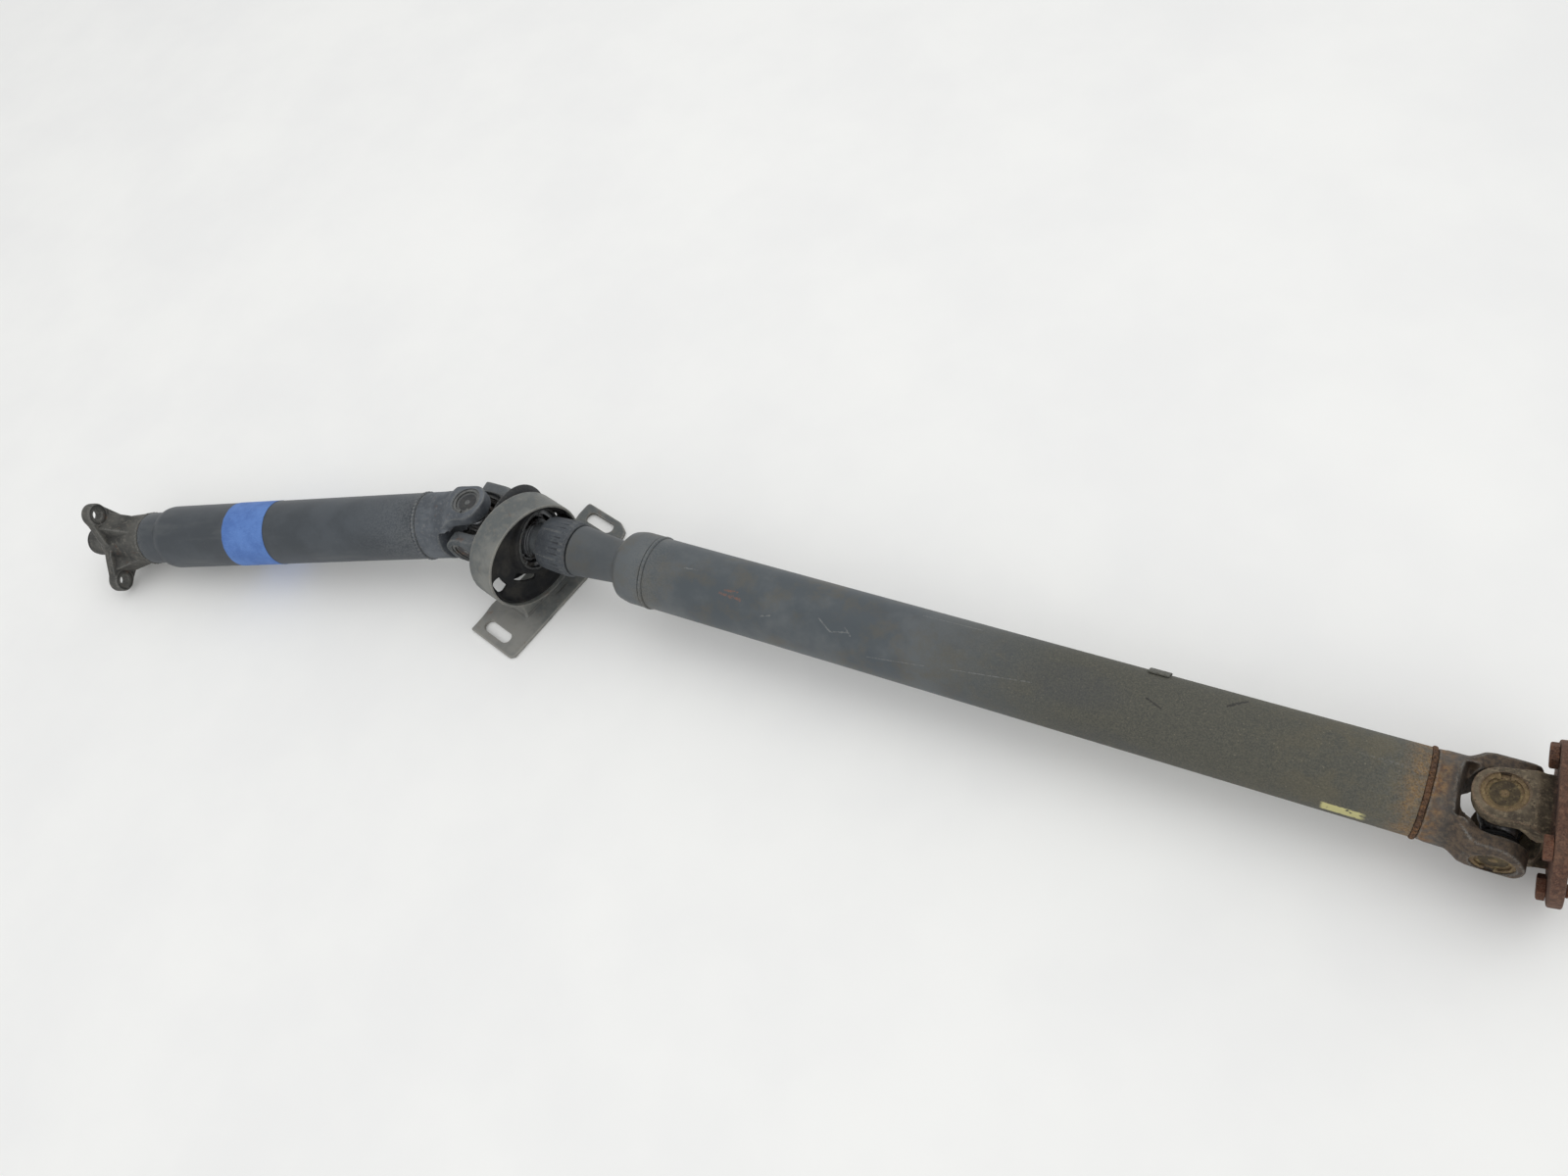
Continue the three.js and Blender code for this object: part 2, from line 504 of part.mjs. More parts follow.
// ---------------------------------------------------------------- rear flange
const flange = new THREE.Group();
flange.rotation.z = FLANGE_YAW * RAD;
tilt.add(flange);
const boltAngles = [45, 135, 225, 315];
const flangeYoke = () => {
  const plate = turned([
    [FLANGE_FACE, 0], [FLANGE_FACE, FLANGE_R - 0.8], [FLANGE_FACE + 0.8, FLANGE_R], [FLANGE_FACE + FLANGE_T - 0.8, FLANGE_R],
    [FLANGE_FACE + FLANGE_T, FLANGE_R - 0.8], [FLANGE_FACE + FLANGE_T, 30], [FLANGE_FACE + FLANGE_T + 2.5, 30],
    [FLANGE_FACE + FLANGE_T + 2.5, 22], [FLANGE_FACE + 5, 20], [FLANGE_FACE + 5, 0],
  ], 32);
  const holes = boltAngles.map((deg) => rod(FLANGE_FACE - 3, FLANGE_FACE + FLANGE_T + 3, 5.4, 10)
    .translate(0, FLANGE_PCD_R * Math.cos(deg * RAD), FLANGE_PCD_R * Math.sin(deg * RAD)));
  return cut(join(plate, ...ears(FLANGE_FACE + 3)), boreZ(CUP_BORE_R), ...holes);
};
add(flange, "rear_flange_yoke", flangeYoke(), LOOK.rust());
cupSet(flange, "flange_yoke", ["top", "bottom"]);
boltAngles.forEach((deg, i) => {
  const hex = new THREE.CylinderGeometry(BOLT_HEAD_R, BOLT_HEAD_R, BOLT_HEAD_T, 6).rotateZ(Math.PI / 2)
    .translate(FLANGE_FACE - GAP - BOLT_HEAD_T / 2, 0, 0);
  add(flange, `flange_bolt_${i + 1}`, join(hex, rod(FLANGE_FACE - 2, FLANGE_FACE + FLANGE_T + 17, 5, 10)), LOOK.rust(), {
    position: [0, FLANGE_PCD_R * Math.cos(deg * RAD), FLANGE_PCD_R * Math.sin(deg * RAD)],
  });
});

// ---------------------------------------------------------------- origin at the bottom centre
root.updateMatrixWorld(true);
const box = new THREE.Box3().setFromObject(root, true);
const mid = box.getCenter(new THREE.Vector3());
root.position.set(-mid.x, -mid.y, -box.min.z);

export default root;
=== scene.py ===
# %% [markdown]
# # A two-piece universal joint shaft
# The shaft lies on a pale bench: a short dark front tube with a three-arm coupling
# flange, a cross joint, a support bearing in a pressed bracket, a long rear tube and a
# second cross joint with a rusty bolted flange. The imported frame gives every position.

# %% Load the frame
import bpy, bmesh, json, math, random
from mathutils import Matrix, Vector


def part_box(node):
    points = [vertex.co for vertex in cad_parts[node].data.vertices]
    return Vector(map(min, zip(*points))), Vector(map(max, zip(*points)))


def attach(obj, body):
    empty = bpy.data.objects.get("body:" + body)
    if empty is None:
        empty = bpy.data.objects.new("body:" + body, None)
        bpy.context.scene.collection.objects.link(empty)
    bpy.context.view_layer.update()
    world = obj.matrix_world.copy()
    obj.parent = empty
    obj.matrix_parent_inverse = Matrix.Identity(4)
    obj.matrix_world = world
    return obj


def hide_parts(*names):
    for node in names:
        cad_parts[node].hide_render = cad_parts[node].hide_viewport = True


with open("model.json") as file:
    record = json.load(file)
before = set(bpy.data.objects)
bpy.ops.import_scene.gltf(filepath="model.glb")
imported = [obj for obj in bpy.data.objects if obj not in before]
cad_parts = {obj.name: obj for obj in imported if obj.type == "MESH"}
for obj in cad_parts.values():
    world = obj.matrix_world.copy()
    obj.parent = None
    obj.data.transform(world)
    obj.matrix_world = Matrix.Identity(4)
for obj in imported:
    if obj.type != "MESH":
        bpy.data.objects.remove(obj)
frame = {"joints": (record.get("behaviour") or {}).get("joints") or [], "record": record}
joints = {j["name"]: j for j in frame["joints"]}
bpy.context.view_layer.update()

# %% [markdown]
# ## Places
# Each section of the shaft has its own line. A matrix for each one turns plain local
# millimetres, with the section's axis along X, into the shared frame in metres, so a
# piece can be drawn straight and then laid in its place.

# %% Places
MM = 0.001
X_AXIS, Y_AXIS, Z_AXIS = Vector((1, 0, 0)), Vector((0, 1, 0)), Vector((0, 0, 1))

def place(origin, x_dir, z_dir):
    x, z = Vector(x_dir).normalized(), Vector(z_dir).normalized()
    y = z.cross(x).normalized()
    m = Matrix((x, y, x.cross(y))).transposed().to_4x4()
    m.translation = Vector(origin)
    return m @ Matrix.Scale(MM, 4)

centre_point = Vector(joints["centre_pin_across"]["pos_m"])
rear_point = Vector(joints["rear_pin_across"]["pos_m"])
front_pin = Vector(joints["centre_pin_upright"]["axis"])
flange_pin = Vector(joints["rear_pin_upright"]["axis"])
mounts = {m["name"]: m for m in frame["record"]["mounts"]}
front_dir = Vector(mounts["front_coupling_face"]["axis"])
flange_dir = Vector(mounts["rear_flange_face"]["axis"])

REAR = place(centre_point, X_AXIS, Z_AXIS)
FRONT = place(centre_point, front_dir, front_pin)
CENTRE_CROSS = place(centre_point, Y_AXIS.cross(front_pin), front_pin)
REAR_YOKE = place(rear_point, -X_AXIS, Z_AXIS)
REAR_CROSS = place(rear_point, Y_AXIS.cross(flange_pin), flange_pin)
FLANGE = place(rear_point, flange_dir, flange_pin)
BRACKET_YAW = math.radians(-15)
BEARING_X = 57.0
STAND = REAR @ Matrix.Translation((BEARING_X, 0, 0)) @ Matrix.Rotation(BRACKET_YAW, 4, "Z")
BEARING = REAR @ Matrix.Translation((BEARING_X, 0, 0))
print("joint centres", centre_point, rear_point)

# %% [markdown]
# ## Sizes
# These repeat the shaft's own driving dimensions, in millimetres from each joint centre.

# %% Sizes
TUBE_R, TUBE_WALL, NECK_R = 32.5, 2.2, 27.0
EAR_INNER, EAR_OUTER, EAR_R, CUP_R, TRUNNION_R = 24.0, 38.0, 19.5, 14.0, 8.6
FRONT_WELD, FRONT_SHOULDER, FRONT_TUBE_END = 60.0, 375.0, 405.0
REAR_WELD, STEP_RING, REAR_JOINT = 832.5, 200.0, (rear_point.x - centre_point.x) / MM
SPIDER_BACK, SPIDER_THICK, ARM_R, BOSS_R = 447.0, 10.0, 44.0, 12.0
HUB_FRONT, PILOT_R = 483.0, 11.0
HOOP_IN, HOOP_OUT, HOOP_FRONT, HOOP_REAR = 51.4, 54.0, -14.0, 16.0
HOOP_SIDE, HOOP_DROP, SEAT_DROP = -13.0, -5.4, -60.0
FLANGE_FACE, FLANGE_T, FLANGE_R, FLANGE_HOLES_R = 29.5, 9.0, 56.0, 47.0
ROUND, YOKE_BASE, FLANGE_YOKE_BASE = 144, 29.0, 24.5
CENTRE_SWING, REAR_SWING, SWING_GAP = 20.5, 19.0, 1.1

# %% [markdown]
# ## Mesh helpers
# A turned part is a profile spun about the X axis. A forging is several closed shapes
# melted together with a fine voxel remesh and then smoothed, which gives the soft
# fillets of hot metal. Machined holes are cut afterwards, so their edges stay crisp.

# %% Mesh helpers
def new_object(name, mesh):
    obj = bpy.data.objects.new(name, mesh)
    bpy.context.scene.collection.objects.link(obj)
    return obj

def from_bmesh(name, bm, matrix=None):
    bmesh.ops.remove_doubles(bm, verts=bm.verts, dist=1e-5)
    bmesh.ops.recalc_face_normals(bm, faces=bm.faces)
    if matrix is not None:
        bm.transform(matrix)
    mesh = bpy.data.meshes.new(name)
    bm.to_mesh(mesh)
    bm.free()
    return new_object(name, mesh)

def spun(bm, profile, steps=ROUND, turn=None):
    verts = [bm.verts.new((x, 0, r)) for x, r in profile]
    loop = list(zip(verts, verts[1:]))
    if profile[0][1] > 0:
        loop.append((verts[-1], verts[0]))
    edges = [bm.edges.new(pair) for pair in loop]
    made = bmesh.ops.spin(bm, geom=verts + edges, cent=(0, 0, 0), axis=(1, 0, 0),
                          angle=2 * math.pi, steps=steps, use_merge=True)
    found = set(verts)
    walk = list(verts)
    while walk:
        for e in walk.pop().link_edges:
            for v in e.verts:
                if v not in found:
                    found.add(v); walk.append(v)
    if turn is not None:
        bmesh.ops.transform(bm, matrix=turn, verts=list(found))
    return list(found)

def rounded(profile, radius=0.6, steps=3):
    """The same profile with its corners eased by short curves."""
    out, n = [], len(profile)
    closed = profile[0][1] > 0
    for i, p in enumerate(profile):
        if not closed and i in (0, n - 1):
            out.append(p); continue
        a, b, c = Vector(profile[i - 1]), Vector(p), Vector(profile[(i + 1) % n])
        reach = min(radius, (a - b).length * 0.45, (c - b).length * 0.45)
        if reach < 0.05 or (b - a).angle(c - b, 0) < 0.12:
            out.append(p); continue
        start, end = b + (a - b).normalized() * reach, b + (c - b).normalized() * reach
        for k in range(steps + 1):
            t = k / steps
            out.append(tuple(start.lerp(b, t).lerp(b.lerp(end, t), t)))
    return out

def turned(name, profile, matrix, steps=ROUND, ease=0.6):
    bm = bmesh.new()
    spun(bm, rounded(profile, ease), steps)
    return from_bmesh(name, bm, matrix)

def prism(bm, outline, x0, x1, turn=None):
    low = [bm.verts.new((x0, a, b)) for a, b in outline]
    high = [bm.verts.new((x1, a, b)) for a, b in outline]
    bm.faces.new(low); bm.faces.new(high[::-1])
    for i in range(len(outline)):
        j = (i + 1) % len(outline)
        bm.faces.new((low[i], high[i], high[j], low[j]))
    if turn is not None:
        bmesh.ops.transform(bm, matrix=turn, verts=low + high)

def arc(cx, cy, r, start, stop, steps=24):
    return [(cx + r * math.cos(math.radians(start + (stop - start) * i / steps)),
             cy + r * math.sin(math.radians(start + (stop - start) * i / steps)))
            for i in range(steps + 1)]

def settle(obj):
    """Turn the evaluated result into the object's own plain mesh."""
    graph = bpy.context.evaluated_depsgraph_get()
    mesh = bpy.data.meshes.new_from_object(obj.evaluated_get(graph))
    obj.modifiers.clear()
    obj.data = mesh
    return obj

def melt(obj, voxel, smooth_steps, shrink=0.5):
    remesh = obj.modifiers.new("melt", "REMESH")
    remesh.mode, remesh.voxel_size, remesh.adaptivity = "VOXEL", voxel, 0.0
    ease = obj.modifiers.new("ease", "SMOOTH")
    ease.factor, ease.iterations = shrink, smooth_steps
    return settle(obj)

def boolean(obj, tool, kind="DIFFERENCE"):
    mod = obj.modifiers.new("cut", "BOOLEAN")
    mod.operation, mod.solver, mod.object = kind, "EXACT", tool
    settle(obj)
    bpy.data.objects.remove(tool)
    return obj

def soften(obj, degrees=32):
    obj.data.polygons.foreach_set("use_smooth", [True] * len(obj.data.polygons))
    obj.data.set_sharp_from_angle(angle=math.radians(degrees))
    return obj

def seat(obj, matrix):
    obj.data.transform(matrix)
    if matrix.determinant() < 0:
        obj.data.flip_normals()
    return obj

LEAST_SHARE = 0.8

def check_whole(obj, stands_for):
    """Stop if a piece is much smaller, along any axis, than the solids it stands for.

    A boolean on a fine mesh can fail silently and leave a scrap under the right name."""
    flat = [0.0] * (3 * len(obj.data.vertices))
    obj.data.vertices.foreach_get("co", flat)
    boxes = [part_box(node) for node in stands_for]
    for k in range(3):
        wanted = max(high[k] for low, high in boxes) - min(low[k] for low, high in boxes)
        found = max(flat[k::3]) - min(flat[k::3]) if flat else 0.0
        if found < LEAST_SHARE * wanted:
            raise RuntimeError(f"{obj.name} lost part of its shape: {found:.4f} m of {wanted:.4f} m along axis {k}")

pieces = []
def finish_piece(obj, body, slot, material, *stands_for):
    obj.data.materials.clear()
    obj.data.materials.append(material)
    soften(obj)
    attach(obj, body)
    check_whole(obj, stands_for)
    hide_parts(*stands_for)
    pieces.append(obj)
    print(obj.name, len(obj.data.polygons), "faces on", body)
    return obj

# %% [markdown]
# ## Shader arithmetic
# A finish is mostly masks: where paint is thin, where rust starts, where a scratch runs.
# Wrapping a socket in a small class lets those masks be written as ordinary sums, and
# each sum quietly adds its Math node.

# %% Shader arithmetic
class Wire:
    def __init__(self, finish, socket):
        self.finish, self.socket = finish, socket
    def math(self, kind, a, b=0.0, clamp=False):
        return self.finish.node("ShaderNodeMath", dict(operation=kind, use_clamp=clamp), {0: a, 1: b})
    def __add__(self, other): return self.math("ADD", self, other)
    def __sub__(self, other): return self.math("SUBTRACT", self, other)
    def __rsub__(self, other): return self.math("SUBTRACT", other, self)
    def __mul__(self, other): return self.math("MULTIPLY", self, other)
    def __truediv__(self, other): return self.math("DIVIDE", self, other)
    def __pow__(self, other): return self.math("POWER", self, other)
    __radd__, __rmul__ = __add__, __mul__
    def clip(self): return self.math("ADD", self, 0.0, True)
    def size(self): return self.math("ABSOLUTE", self)
    def most(self, other): return self.math("MAXIMUM", self, other)
    def rise(self, low, high):
        """0 below low, 1 above high, and a soft step between."""
        return self.finish.node("ShaderNodeMapRange", dict(interpolation_type="SMOOTHSTEP"),
                                {"Value": self, "From Min": low, "From Max": high})

def srgb(r, g, b):
    return tuple(((c / 255 + 0.055) / 1.055) ** 2.4 for c in (r, g, b)) + (1.0,)

class Finish:
    """One material under construction."""
    def __init__(self, name, section=None):
        self.material = bpy.data.materials.new(name)
        self.material.use_nodes = True
        self.tree = self.material.node_tree
        self.tree.nodes.clear()
        self.here = self.node("ShaderNodeTexCoord", out="Object")
        if section is not None:
            turn = section.to_3x3().normalized().transposed()
            self.here = self.node("ShaderNodeMapping", dict(vector_type="POINT"), {
                "Vector": self.here, "Location": -(turn @ section.translation),
                "Rotation": turn.to_euler("XYZ")})
    def node(self, kind, settings=None, sockets=None, out=0):
        made = self.tree.nodes.new(kind)
        for key, value in (settings or {}).items():
            if key == "stops":
                ramp = made.color_ramp
                while len(ramp.elements) < len(value):
                    ramp.elements.new(0.5)
                for element, (at, colour) in zip(ramp.elements, value):
                    element.position, element.color = at, colour
            else:
                setattr(made, key, value)
        for key, value in (sockets or {}).items():
            if isinstance(value, Wire):
                self.tree.links.new(value.socket, made.inputs[key])
            else:
                made.inputs[key].default_value = value
        return Wire(self, made.outputs[out] if made.outputs else None)
    def noise(self, per_mm, detail=4.0, rough=0.55, stretch=None, offset=0.0):
        where = self.here
        if stretch:
            where = self.node("ShaderNodeMapping", None, {"Vector": where, "Scale": stretch,
                                                          "Location": (offset, offset, offset)})
        return self.node("ShaderNodeTexNoise", None, {"Vector": where, "Scale": per_mm / MM,
                                                      "Detail": detail, "Roughness": rough})
    def cells(self, per_mm, feature="F1"):
        return self.node("ShaderNodeTexVoronoi", dict(feature=feature),
                         {"Vector": self.here, "Scale": per_mm / MM}, "Distance")
    def parts(self):
        split = self.node("ShaderNodeSeparateXYZ", None, {0: self.here})
        outs = self.tree.nodes[-1].outputs
        return split, Wire(self, outs[1]), Wire(self, outs[2])
    def tint(self, mask, under, over):
        return self.node("ShaderNodeMix", dict(data_type="RGBA"), {0: mask, 6: under, 7: over}, 2)
    def worn_edge(self, low=0.505, high=0.53):
        """Bright on outward corners, from the mesh itself."""
        return self.node("ShaderNodeNewGeometry", out="Pointiness").rise(low, high)
    def crease(self, low=0.495, high=0.47):
        return self.node("ShaderNodeNewGeometry", out="Pointiness").rise(low, high)
    def bump(self, height, distance, strength=1.0, under=None):
        sockets = {"Height": height, "Distance": distance, "Strength": strength}
        if under is not None:
            sockets["Normal"] = under
        return self.node("ShaderNodeBump", None, sockets)
    def coat(self, colour, roughness, metallic=0.0, normal=None, specular=0.5, coat=None):
        sockets = {"Base Color": colour, "Roughness": roughness, "Metallic": metallic,
                   "Specular IOR Level": specular}
        if normal is not None:
            sockets["Normal"] = normal
        if coat is not None:
            sockets["Coat Weight"], sockets["Coat Roughness"] = coat
        shader = self.node("ShaderNodeBsdfPrincipled", None, sockets)
        self.node("ShaderNodeOutputMaterial", None, {"Surface": shader})
        return self.material

# %% [markdown]
# ## Shaft paint
# The tubes are dipped in thin dark paint. It has dulled, picked up road dust, and on the
# long tube it turns from slate grey to an olive brown speckle towards the rear, where
# grit and fine rust have eaten in. Single scratches are drawn as short lines on the
# unrolled tube: the distance along it and the angle round it.

# %% Shaft paint
def scratch(fin, along, round_, start, end, width, wobble):
    """Mask of one scratch. start and end are (mm from the joint, degrees)."""
    px, py = start[0] * MM, math.radians(start[1]) * TUBE_R * MM
    dx, dy = end[0] * MM - px, math.radians(end[1]) * TUBE_R * MM - py
    reach = dx * dx + dy * dy
    at = (((along - px) * dx + (round_ - py) * dy) / reach).clip()
    off_x, off_y = along - px - at * dx, round_ - py - at * dy
    off = (off_x * off_x + off_y * off_y) ** 0.5 + (wobble - 0.5) * (width * 2.2 * MM)
    return off.rise(width * MM, width * 0.35 * MM)

def unrolled(fin):
    """Distance along the section, and arc length round it with the seam at the back."""
    x, y, z = fin.parts()
    angle = fin.node("ShaderNodeMath", dict(operation="ARCTAN2"), {0: z * -1.0, 1: y * -1.0})
    return x, (angle + math.pi) * (TUBE_R * MM), angle + math.pi

def front_paint():
    fin = Finish("front tube paint", FRONT)
    blotch = fin.noise(0.02, 5, 0.6)
    fine = fin.noise(0.6, 3, 0.6)
    streaks = fin.noise(0.05, 4, 0.6, (0.25, 1, 1))
    colour = fin.tint(blotch.rise(0.38, 0.66), srgb(50, 56, 62), srgb(63, 69, 75))
    colour = fin.tint((streaks.rise(0.5, 0.7) * 0.5), colour, srgb(78, 82, 84))
    speck = fin.cells(0.28).rise(0.16, 0.08) * fin.noise(0.05, 2).rise(0.5, 0.62)
    colour = fin.tint(speck * 0.5, colour, srgb(96, 94, 88))
    worn = fin.worn_edge() * fine.rise(0.4, 0.6)
    colour = fin.tint(worn * 0.5, colour, srgb(104, 106, 108))
    peel = fin.noise(0.35, 3, 0.5)
    rough = 0.40 + blotch * 0.16 + speck * 0.2
    return fin.coat(colour, rough, 0.0, fin.bump(peel * 0.6 + fine * 0.4, 0.00018, 0.5))

def rear_paint():
    fin = Finish("rear tube paint", REAR)
    x, arc_at, angle = unrolled(fin)
    blotch, fine = fin.noise(0.018, 5, 0.6), fin.noise(0.7, 3, 0.65)
    wobble = fin.noise(0.5, 2)
    base = fin.tint(blotch.rise(0.38, 0.62), srgb(66, 73, 78), srgb(84, 89, 92))
    road = fin.noise(0.028, 6, 0.7, (1, 1, 1), 7.0)
    base = fin.tint(road.rise(0.46, 0.66) * 0.6, base, srgb(84, 80, 70))
    olive = (x + (blotch - 0.5) * 0.09).rise(0.44, 0.60)
    sand = fin.noise(0.75, 5, 0.75)
    brown = fin.tint(sand.rise(0.34, 0.68), srgb(62, 63, 58), srgb(88, 86, 75))
    base = fin.tint(olive, base, brown)
    ochre = (x.rise(0.66, 0.83) * fin.noise(0.03, 5, 0.7).rise(0.42, 0.62))
    base = fin.tint(ochre * 0.35, base, srgb(104, 94, 68))
    speck = fin.cells(0.32).rise(0.22, 0.10) * sand.rise(0.46, 0.6)
    base = fin.tint(speck * olive * 0.55, base, srgb(126, 120, 102))
    def dark(s, a, half_s, half_a):
        oval = ((x - s * MM) / (half_s * MM)) ** 2.0 + ((angle - math.radians(a)) / math.radians(half_a)) ** 2.0
        return (oval + (blotch - 0.5) * 2.4 + (road - 0.5) * 2.0).rise(1.5, 0.2)
    patches = dark(586, 104, 44, 30).most(dark(612, 178, 40, 26)).most(dark(470, 80, 60, 24) * 0.6)
    base = fin.tint(patches * (0.2 + 0.6 * road.rise(0.36, 0.6)) * 0.5, base, srgb(60, 63, 67))
    light = None
    for start, end, width in (((322, 135), (330, 130), 1.0), ((374, 114), (386, 128), 0.8),
                              ((386, 128), (402, 122), 0.9), ((398, 116), (404, 126), 0.7),
                              ((421, 150), (470, 138), 0.55), ((492, 132), (556, 118), 0.5),
                              ((240, 96), (252, 93), 0.8), ((455, 62), (505, 58), 0.5)):
        mark = scratch(fin, x, arc_at, start, end, width, wobble)
        light = mark if light is None else light.most(mark)
    broken = fin.noise(0.45, 3, 0.6).rise(0.34, 0.58)
    base = fin.tint(light * broken * 0.5, base, srgb(128, 130, 128))
    deep = scratch(fin, x, arc_at, (696, 74), (707, 56), 1.6, wobble).most(
        scratch(fin, x, arc_at, (640, 96), (652, 104), 0.9, wobble))
    base = fin.tint(deep * 0.8, base, srgb(34, 33, 32))
    red = scratch(fin, x, arc_at, (280, 118), (300, 120), 1.6, wobble).most(
        scratch(fin, x, arc_at, (284, 112), (296, 110), 1.2, wobble))
    base = fin.tint(red * broken * 0.7, base, srgb(120, 82, 68))
    dab = ((x + wobble * 0.003).rise(0.772, 0.775) * (x + wobble * 0.004).rise(0.804, 0.799)
           * (angle + (wobble - 0.5) * 0.05 - math.radians(176)).size().rise(math.radians(9.5), math.radians(7.5)))
    flake = fin.noise(0.16, 4, 0.6).rise(0.36, 0.44)
    base = fin.tint(dab * flake * 0.92, base, srgb(190, 184, 128))
    halo = (x - REAR_WELD * MM + (blotch - 0.5) * 0.012).size().rise(0.024, 0.003)
    rusty = fin.tint(sand.rise(0.35, 0.65), srgb(92, 66, 40), srgb(146, 116, 72))
    base = fin.tint(halo * (0.35 + 0.65 * fin.noise(0.12, 4).rise(0.35, 0.6)) * 0.9, base, rusty)
    front_shade = x.rise(0.185, 0.150)
    base = fin.tint(front_shade * 0.4, base, srgb(52, 55, 58))
    worn = fin.worn_edge() * fine.rise(0.4, 0.6)
    base = fin.tint(worn * 0.45, base, srgb(112, 112, 108))
    rough = 0.46 + blotch * 0.12 + olive * 0.2 + dab * 0.1 + halo * 0.1
    first = fin.bump(fine * 0.5 + fin.noise(0.3, 3) * 0.5, 0.00016, 0.5)
    second = fin.bump(sand * olive, 0.00045, 0.55, first)
    third = fin.bump((light.most(deep).most(red)) * -1.0, 0.0003, 0.6, second)
    return fin.coat(base, rough.clip(), 0.0, third)

FRONT_PAINT, REAR_PAINT = front_paint(), rear_paint()
print("paints", FRONT_PAINT.name, REAR_PAINT.name)

# %% [markdown]
# ## Forgings, pressings and the rest
# Forged yokes are bare or thinly painted steel: dull, mottled, and darker in the corners
# and hollows. The rear flange is rust right through. The bracket is a pressed sheet
# gone grey brown. Each finish mixes two or three noises of different size, because real
# dirt is never one even grain.

# %% Metal finishes
def forged(name, section, dark, mid, light, rust_share, roughness=0.62, weld_at=None, ends_at=None):
    fin = Finish(name, section)
    x = fin.parts()[0]
    blotch, fine, sand = fin.noise(0.045, 5, 0.6), fin.noise(0.9, 3, 0.6), fin.noise(0.28, 5, 0.7)
    colour = fin.tint(blotch.rise(0.35, 0.65), dark, mid)
    colour = fin.tint(sand.rise(0.5, 0.68) * 0.55, colour, light)
    # The hollows of the mesh are tinted near black, more in some places than others.
    darker_in_creases = (fin.crease() * (0.5 + sand)).clip()
    colour = fin.tint(darker_in_creases * 0.6, colour, srgb(30, 30, 31))
    rust = (fin.noise(0.07, 6, 0.7, (1, 1, 1), 3.1) + fine * 0.12).rise(0.72 - rust_share, 0.86 - rust_share)
    rusty = fin.tint(sand.rise(0.35, 0.65), srgb(72, 46, 36), srgb(122, 84, 56))
    colour = fin.tint(rust * 0.7, colour, rusty)
    if weld_at:
        stain = (x - weld_at * MM + (blotch - 0.5) * 0.010).size().rise(0.020, 0.002)
        rusty = fin.tint(sand.rise(0.35, 0.65), srgb(92, 62, 38), srgb(138, 104, 62))
        colour = fin.tint(stain * (0.35 + 0.65 * fin.noise(0.10, 4).rise(0.35, 0.62)), colour, rusty)
    if ends_at:
        muck = (x + (blotch - 0.5) * 0.014).rise(ends_at * MM, (ends_at - 14) * MM)
        colour = fin.tint(muck * 0.92, colour, fin.tint(sand.rise(0.36, 0.64), srgb(56, 47, 40), srgb(94, 78, 62)))
    worn = fin.worn_edge() * fine.rise(0.35, 0.6)
    colour = fin.tint(worn * 0.45, colour, srgb(124, 124, 120))
    rough = (roughness + sand * 0.16 - worn * 0.12).clip()
    bumps = fin.bump(sand * 0.7 + fine * 0.3, 0.0005, 0.55, fin.bump(blotch, 0.0012, 0.35))
    return fin.coat(colour, rough, 0.25, bumps)

def rusted(name, section, deep, mid, light, roughness=0.8, redder_past=None):
    fin = Finish(name, section)
    blotch, fine, sand = fin.noise(0.05, 6, 0.65), fin.noise(1.1, 4, 0.7), fin.noise(0.3, 6, 0.75)
    colour = fin.tint(blotch.rise(0.36, 0.64), deep, mid)
    colour = fin.tint(sand.rise(0.48, 0.68) * 0.7, colour, light)
    if redder_past:
        red = (fin.parts()[0] + (blotch - 0.5) * 0.01).rise(redder_past * MM, (redder_past + 5) * MM)
        colour = fin.tint(red * 0.75, colour, fin.tint(sand.rise(0.36, 0.66), srgb(62, 36, 30), srgb(104, 66, 52)))
    pits = fin.cells(0.4).rise(0.34, 0.12) * sand.rise(0.4, 0.56)
    colour = fin.tint(pits * 0.6, colour, srgb(34, 24, 21))
    colour = fin.tint(fin.crease() * 0.55, colour, srgb(36, 29, 27))
    worn = fin.worn_edge() * fine.rise(0.4, 0.6)
    colour = fin.tint(worn * 0.4, colour, srgb(132, 104, 84))
    bumps = fin.bump(sand * 0.8 + fine * 0.3 - pits * 0.5, 0.0008, 0.7, fin.bump(blotch, 0.0015, 0.4))
    return fin.coat(colour, (roughness + fine * 0.12).clip(), 0.1, bumps, 0.35)

def pressed_steel():
    fin = Finish("bracket pressed steel", STAND)
    blotch, fine, sand = fin.noise(0.03, 5, 0.62), fin.noise(0.9, 3, 0.6), fin.noise(0.2, 5, 0.7)
    _, y, z = fin.parts()
    colour = fin.tint(blotch.rise(0.38, 0.62), srgb(92, 96, 96), srgb(122, 123, 119))
    colour = fin.tint(sand.rise(0.48, 0.68) * 0.4, colour, srgb(128, 124, 115))
    beige = (y.rise(-0.040, -0.060) * z.rise(-0.035, -0.050) * (0.4 + blotch)).clip()
    colour = fin.tint(beige * 0.5, colour, srgb(150, 148, 143))
    colour = fin.tint(fin.crease(0.497, 0.48) * 0.5, colour, srgb(54, 53, 50))
    rust = fin.noise(0.08, 6, 0.7, (1, 1, 1), 5.0).rise(0.60, 0.74)
    colour = fin.tint(rust * 0.5, colour, srgb(112, 82, 60))
    worn = fin.worn_edge() * fine.rise(0.3, 0.6)
    colour = fin.tint(worn * 0.5, colour, srgb(158, 154, 146))
    return fin.coat(colour, (0.55 + sand * 0.2).clip(), 0.3,
                    fin.bump(sand * 0.6 + fine * 0.4, 0.0004, 0.5, fin.bump(blotch, 0.001, 0.3)))

